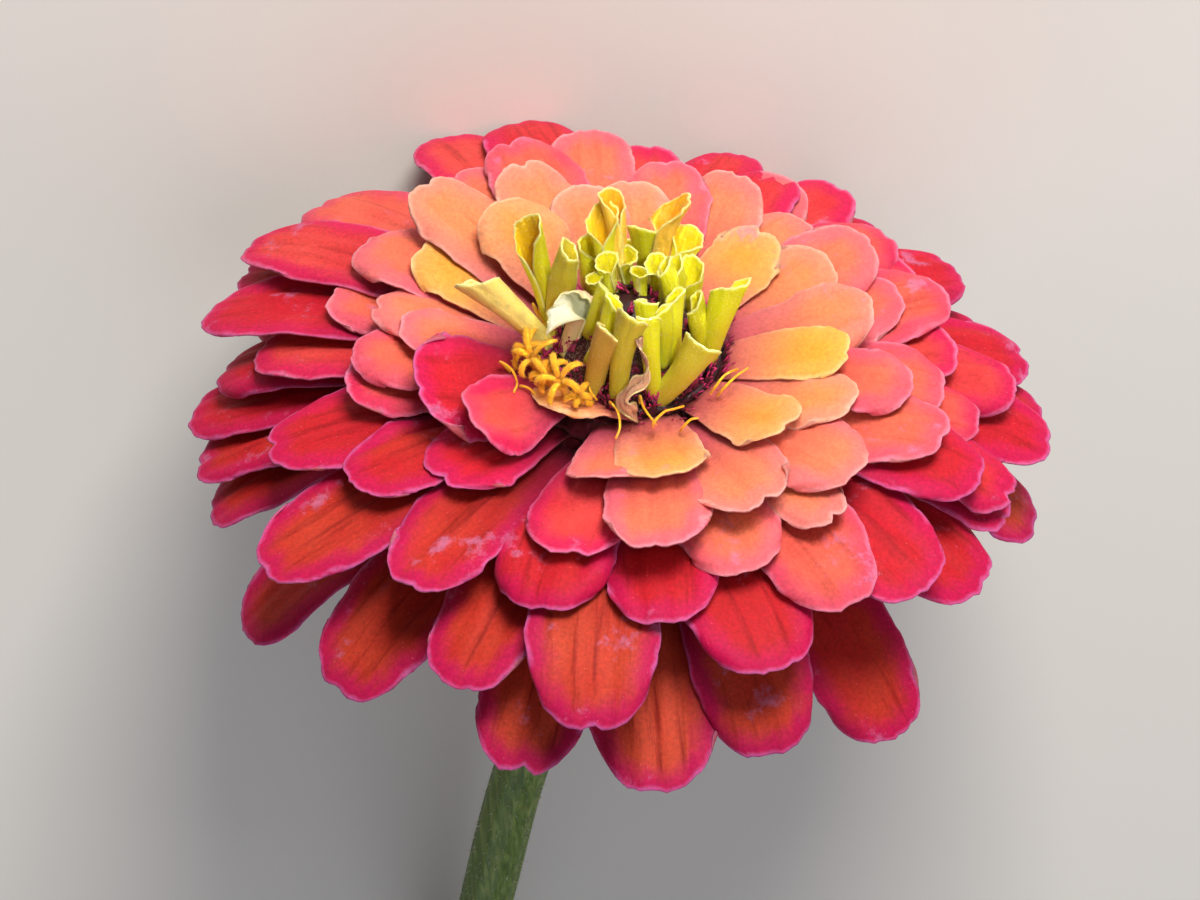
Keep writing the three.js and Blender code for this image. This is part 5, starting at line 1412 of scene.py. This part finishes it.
def stem_core():
    """The disc's cone and the receptacle, turned about the axis, and the pith that shows at the cut"""
    angle = round_the_axis(STEM_SIDES)
    bends = [height for _, height in reversed(CONE)]
    heights = np.interp(np.linspace(0, 1, CONE_RINGS), np.linspace(0, 1, len(bends)), bends)
    rings = [*zip(cone_radius(heights), heights), *UNDERSIDE]
    points = np.concatenate([*(polar(radius, angle, height) for radius, height in rings),
                             [(0, 0, rings[0][1]), (0, 0, rings[-1][1])]])
    faces = grid_faces(len(rings), STEM_SIDES, closed=True)
    last, top = (len(rings) - 1) * STEM_SIDES, len(rings) * STEM_SIDES
    for k in range(STEM_SIDES):
        after = (k + 1) % STEM_SIDES
        faces += [(after, top, k), (last + k, top + 1, last + after)]
    disc = np.zeros(len(points))
    disc[:len(heights) * STEM_SIDES] = 1
    disc[top] = 1
    sheet = Sheet()
    sheet.add(points, faces, pith=0, disc=disc)

    line, directions = stem_line()
    side = unit(np.cross((0, 1, 0), directions[-1]))
    other = np.cross(directions[-1], side)
    ring = line[-1] + PITH_RADIUS * (np.cos(angle)[:, None] * side + np.sin(angle)[:, None] * other)
    poles = [line[-1] + directions[-1] * PITH_OUT, line[-1] - directions[-1] * PITH_IN]
    faces = []
    for k in range(STEM_SIDES):
        after = (k + 1) % STEM_SIDES
        faces += [(k, after, STEM_SIDES), (after, k, STEM_SIDES + 1)]
    sheet.add(np.concatenate([ring, poles]), faces, pith=1, disc=0)
    return sheet.mesh("stem_core")


def stem_skin():
    """Stem skin: olive green with pale lengthwise streaks and reddish flecks, pale pith at the cut, and dark
    maroon where the disc's cone shows between the scales"""
    material, tree, place = new_material("Ribbed stem skin")
    pith, disc = (
        add(tree, "ShaderNodeAttribute", {"attribute_name": label}).outputs["Fac"]
        for label in ("pith", "disc"))
    # Streaks are 0.5 to 0.9 mm wide and 9 mm long, and flecks 0.7 mm wide
    streaks = add(tree, "ShaderNodeMapping", {}, {
        "Vector": place, "Rotation": (0, 0, math.radians(8)),
        "Scale": (1 / (0.5 * MM), 1 / (9 * MM), 1 / (0.9 * MM))}).outputs["Vector"]
    noise = add(tree, "ShaderNodeTexNoise", {}, {"Vector": streaks, "Scale": 1, "Detail": 4}).outputs["Fac"]
    colour = add(tree, "ShaderNodeValToRGB", {
        "stops": [(0.3, "#46611d"), (0.5, "#5f7a2b"), (0.7, "#86994a")]}, {"Fac": noise}).outputs["Color"]
    flecks = add(tree, "ShaderNodeTexNoise", {}, {
        "Vector": place, "Scale": 1 / (0.7 * MM), "Detail": 2}).outputs["Fac"]
    on_fleck = add(tree, "ShaderNodeMapRange", {}, {
        "Value": flecks, "From Min": 0.64, "From Max": 0.75, "To Min": 0, "To Max": 0.4}).outputs[0]
    for share, other in [(on_fleck, "#7a4a34"), (pith, "#c9d29a"), (disc, "#2c0712")]:
        colour = add(tree, "ShaderNodeMix", COLOURS, {
            SHARE: share, FIRST: colour, SECOND: linear(other)}).outputs[MIXED]
    bump = add(tree, "ShaderNodeBump", {}, {"Height": noise, "Strength": 0.5, "Distance": 0.2 * MM})
    end_material(tree, {
        "Base Color": colour, "Normal": bump.outputs["Normal"], "Roughness": 0.5, "Subsurface Weight": 0.08,
        "Subsurface Scale": 1 * MM})
    return material


STEM_SKIN = stem_skin()
share = np.linspace(0, 1, STEM_RINGS)
swell = 1 + (NECK_RADIUS / STEM_RADIUS - 1) * (1 - ease(share / STEM_NECK)) ** 1.5
swell = swell + 0.012 * np.sin(23 * share)
stalk = grown("stem_stalk", STALKS, paths("stem_line", [stem_line()[0]], [swell]), {
    "Thick": STEM_RADIUS * MM, "Sides": STEM_SIDES, "Ribs": STEM_RIBS, "Rib depth": RIB_DEPTH,
    "Skin": STEM_SKIN})
stem_hairs = grown("stem_hairs", SCATTERED, stalk.copy(), {
    "Item": HAIR, "Density": 0.9 / MM ** 2, "Smallest": 0.35, "Largest": 0.9, "Lean": 0.35, "Seed": 3,
    "Skin": PALE_HAIR})
lay_down("stem_stalk", stalk, "stem")
lay_down("stem_core", stem_core(), "stem", STEM_SKIN)
lay_down("stem_hairs", stem_hairs, "stem")
for item in (HAIR, WOOL, SMALL_SCALE):
    bpy.data.objects.remove(item)

# Camera, floor and light

CAMERA_SENSOR = 36
FLOOR_HALF, FLOOR_BELOW = 2.5, 0.0003  # metres


def to_world(point):
    return TO_WORLD @ Vector([c * MM for c in point])


def set_camera():
    data = bpy.data.cameras.new("camera")
    data.sensor_width = CAMERA_SENSOR
    data.lens = CAMERA_SENSOR * DISTANCE / (PICTURE_SIZE[0] * MM_PER_PIXEL)
    data.clip_start, data.clip_end = 0.01, 20
    camera = new_object("camera", data)
    eye = to_world(EYE)
    aim = to_world(seen_through(PICTURE_SIZE[0] / 2, PICTURE_SIZE[1] / 2))
    back = (eye - aim).normalized()
    up = TO_WORLD.to_3x3() @ Vector(PICTURE_UP)
    right = up.cross(back).normalized()
    turn = Matrix((right, back.cross(right), back)).transposed()
    camera.matrix_world = Matrix.Translation(eye) @ turn.to_4x4()
    bpy.context.scene.camera = camera


def soft_light(name, direction, distance, size, power, colour, spread=math.pi):
    """A square lamp that shines on the bloom from a direction of the bloom's frame"""
    data = bpy.data.lights.new(name, "AREA")
    data.size, data.energy, data.color, data.spread = size, power, linear(colour)[:3], spread
    lamp = new_object(name, data)
    aim = to_world((0, 0, 0))
    place = to_world(unit(np.array(direction, float)) * distance / MM)
    lamp.location = place
    lamp.rotation_euler = (place - aim).to_track_quat("Z", "Y").to_euler()


def set_floor():
    signs = ((-1, -1), (1, -1), (1, 1), (-1, 1))
    corners = [(across * FLOOR_HALF, along * FLOOR_HALF, -FLOOR_BELOW) for across, along in signs]
    mesh = bpy.data.meshes.new("floor")
    mesh.from_pydata(corners, [], [range(len(corners))])
    material, tree, _ = new_material("Pale matt paper")
    end_material(tree, {"Base Color": linear("#f1efea"), "Roughness": 0.9})
    mesh.materials.append(material)
    new_object("floor", mesh)


def set_light():
    soft_light("key", (0.22, -0.12, 1), 0.7, 0.32, 5.8, "#fff8f0")
    soft_light("fill", (0.5, -1, 0.1), 0.9, 0.8, 2.2, "#f4f6ff")
    soft_light("lamp on the disc", (0.25, -0.9, 1), 0.3, 0.03, 0.0026, "#fffdf0", math.radians(9))
    soft_light("back", (-0.3, -0.7, -0.8), 0.9, 0.8, 1.6, "#f4f6ff")
    world = bpy.data.worlds.new("pale room")
    world.use_nodes = True
    world.node_tree.nodes["Background"].inputs["Color"].default_value = linear("#eef0f2")
    world.node_tree.nodes["Background"].inputs["Strength"].default_value = 0.08
    bpy.context.scene.world = world
    bpy.context.scene.view_settings.view_transform = "Standard"


set_camera()
set_floor()
set_light()
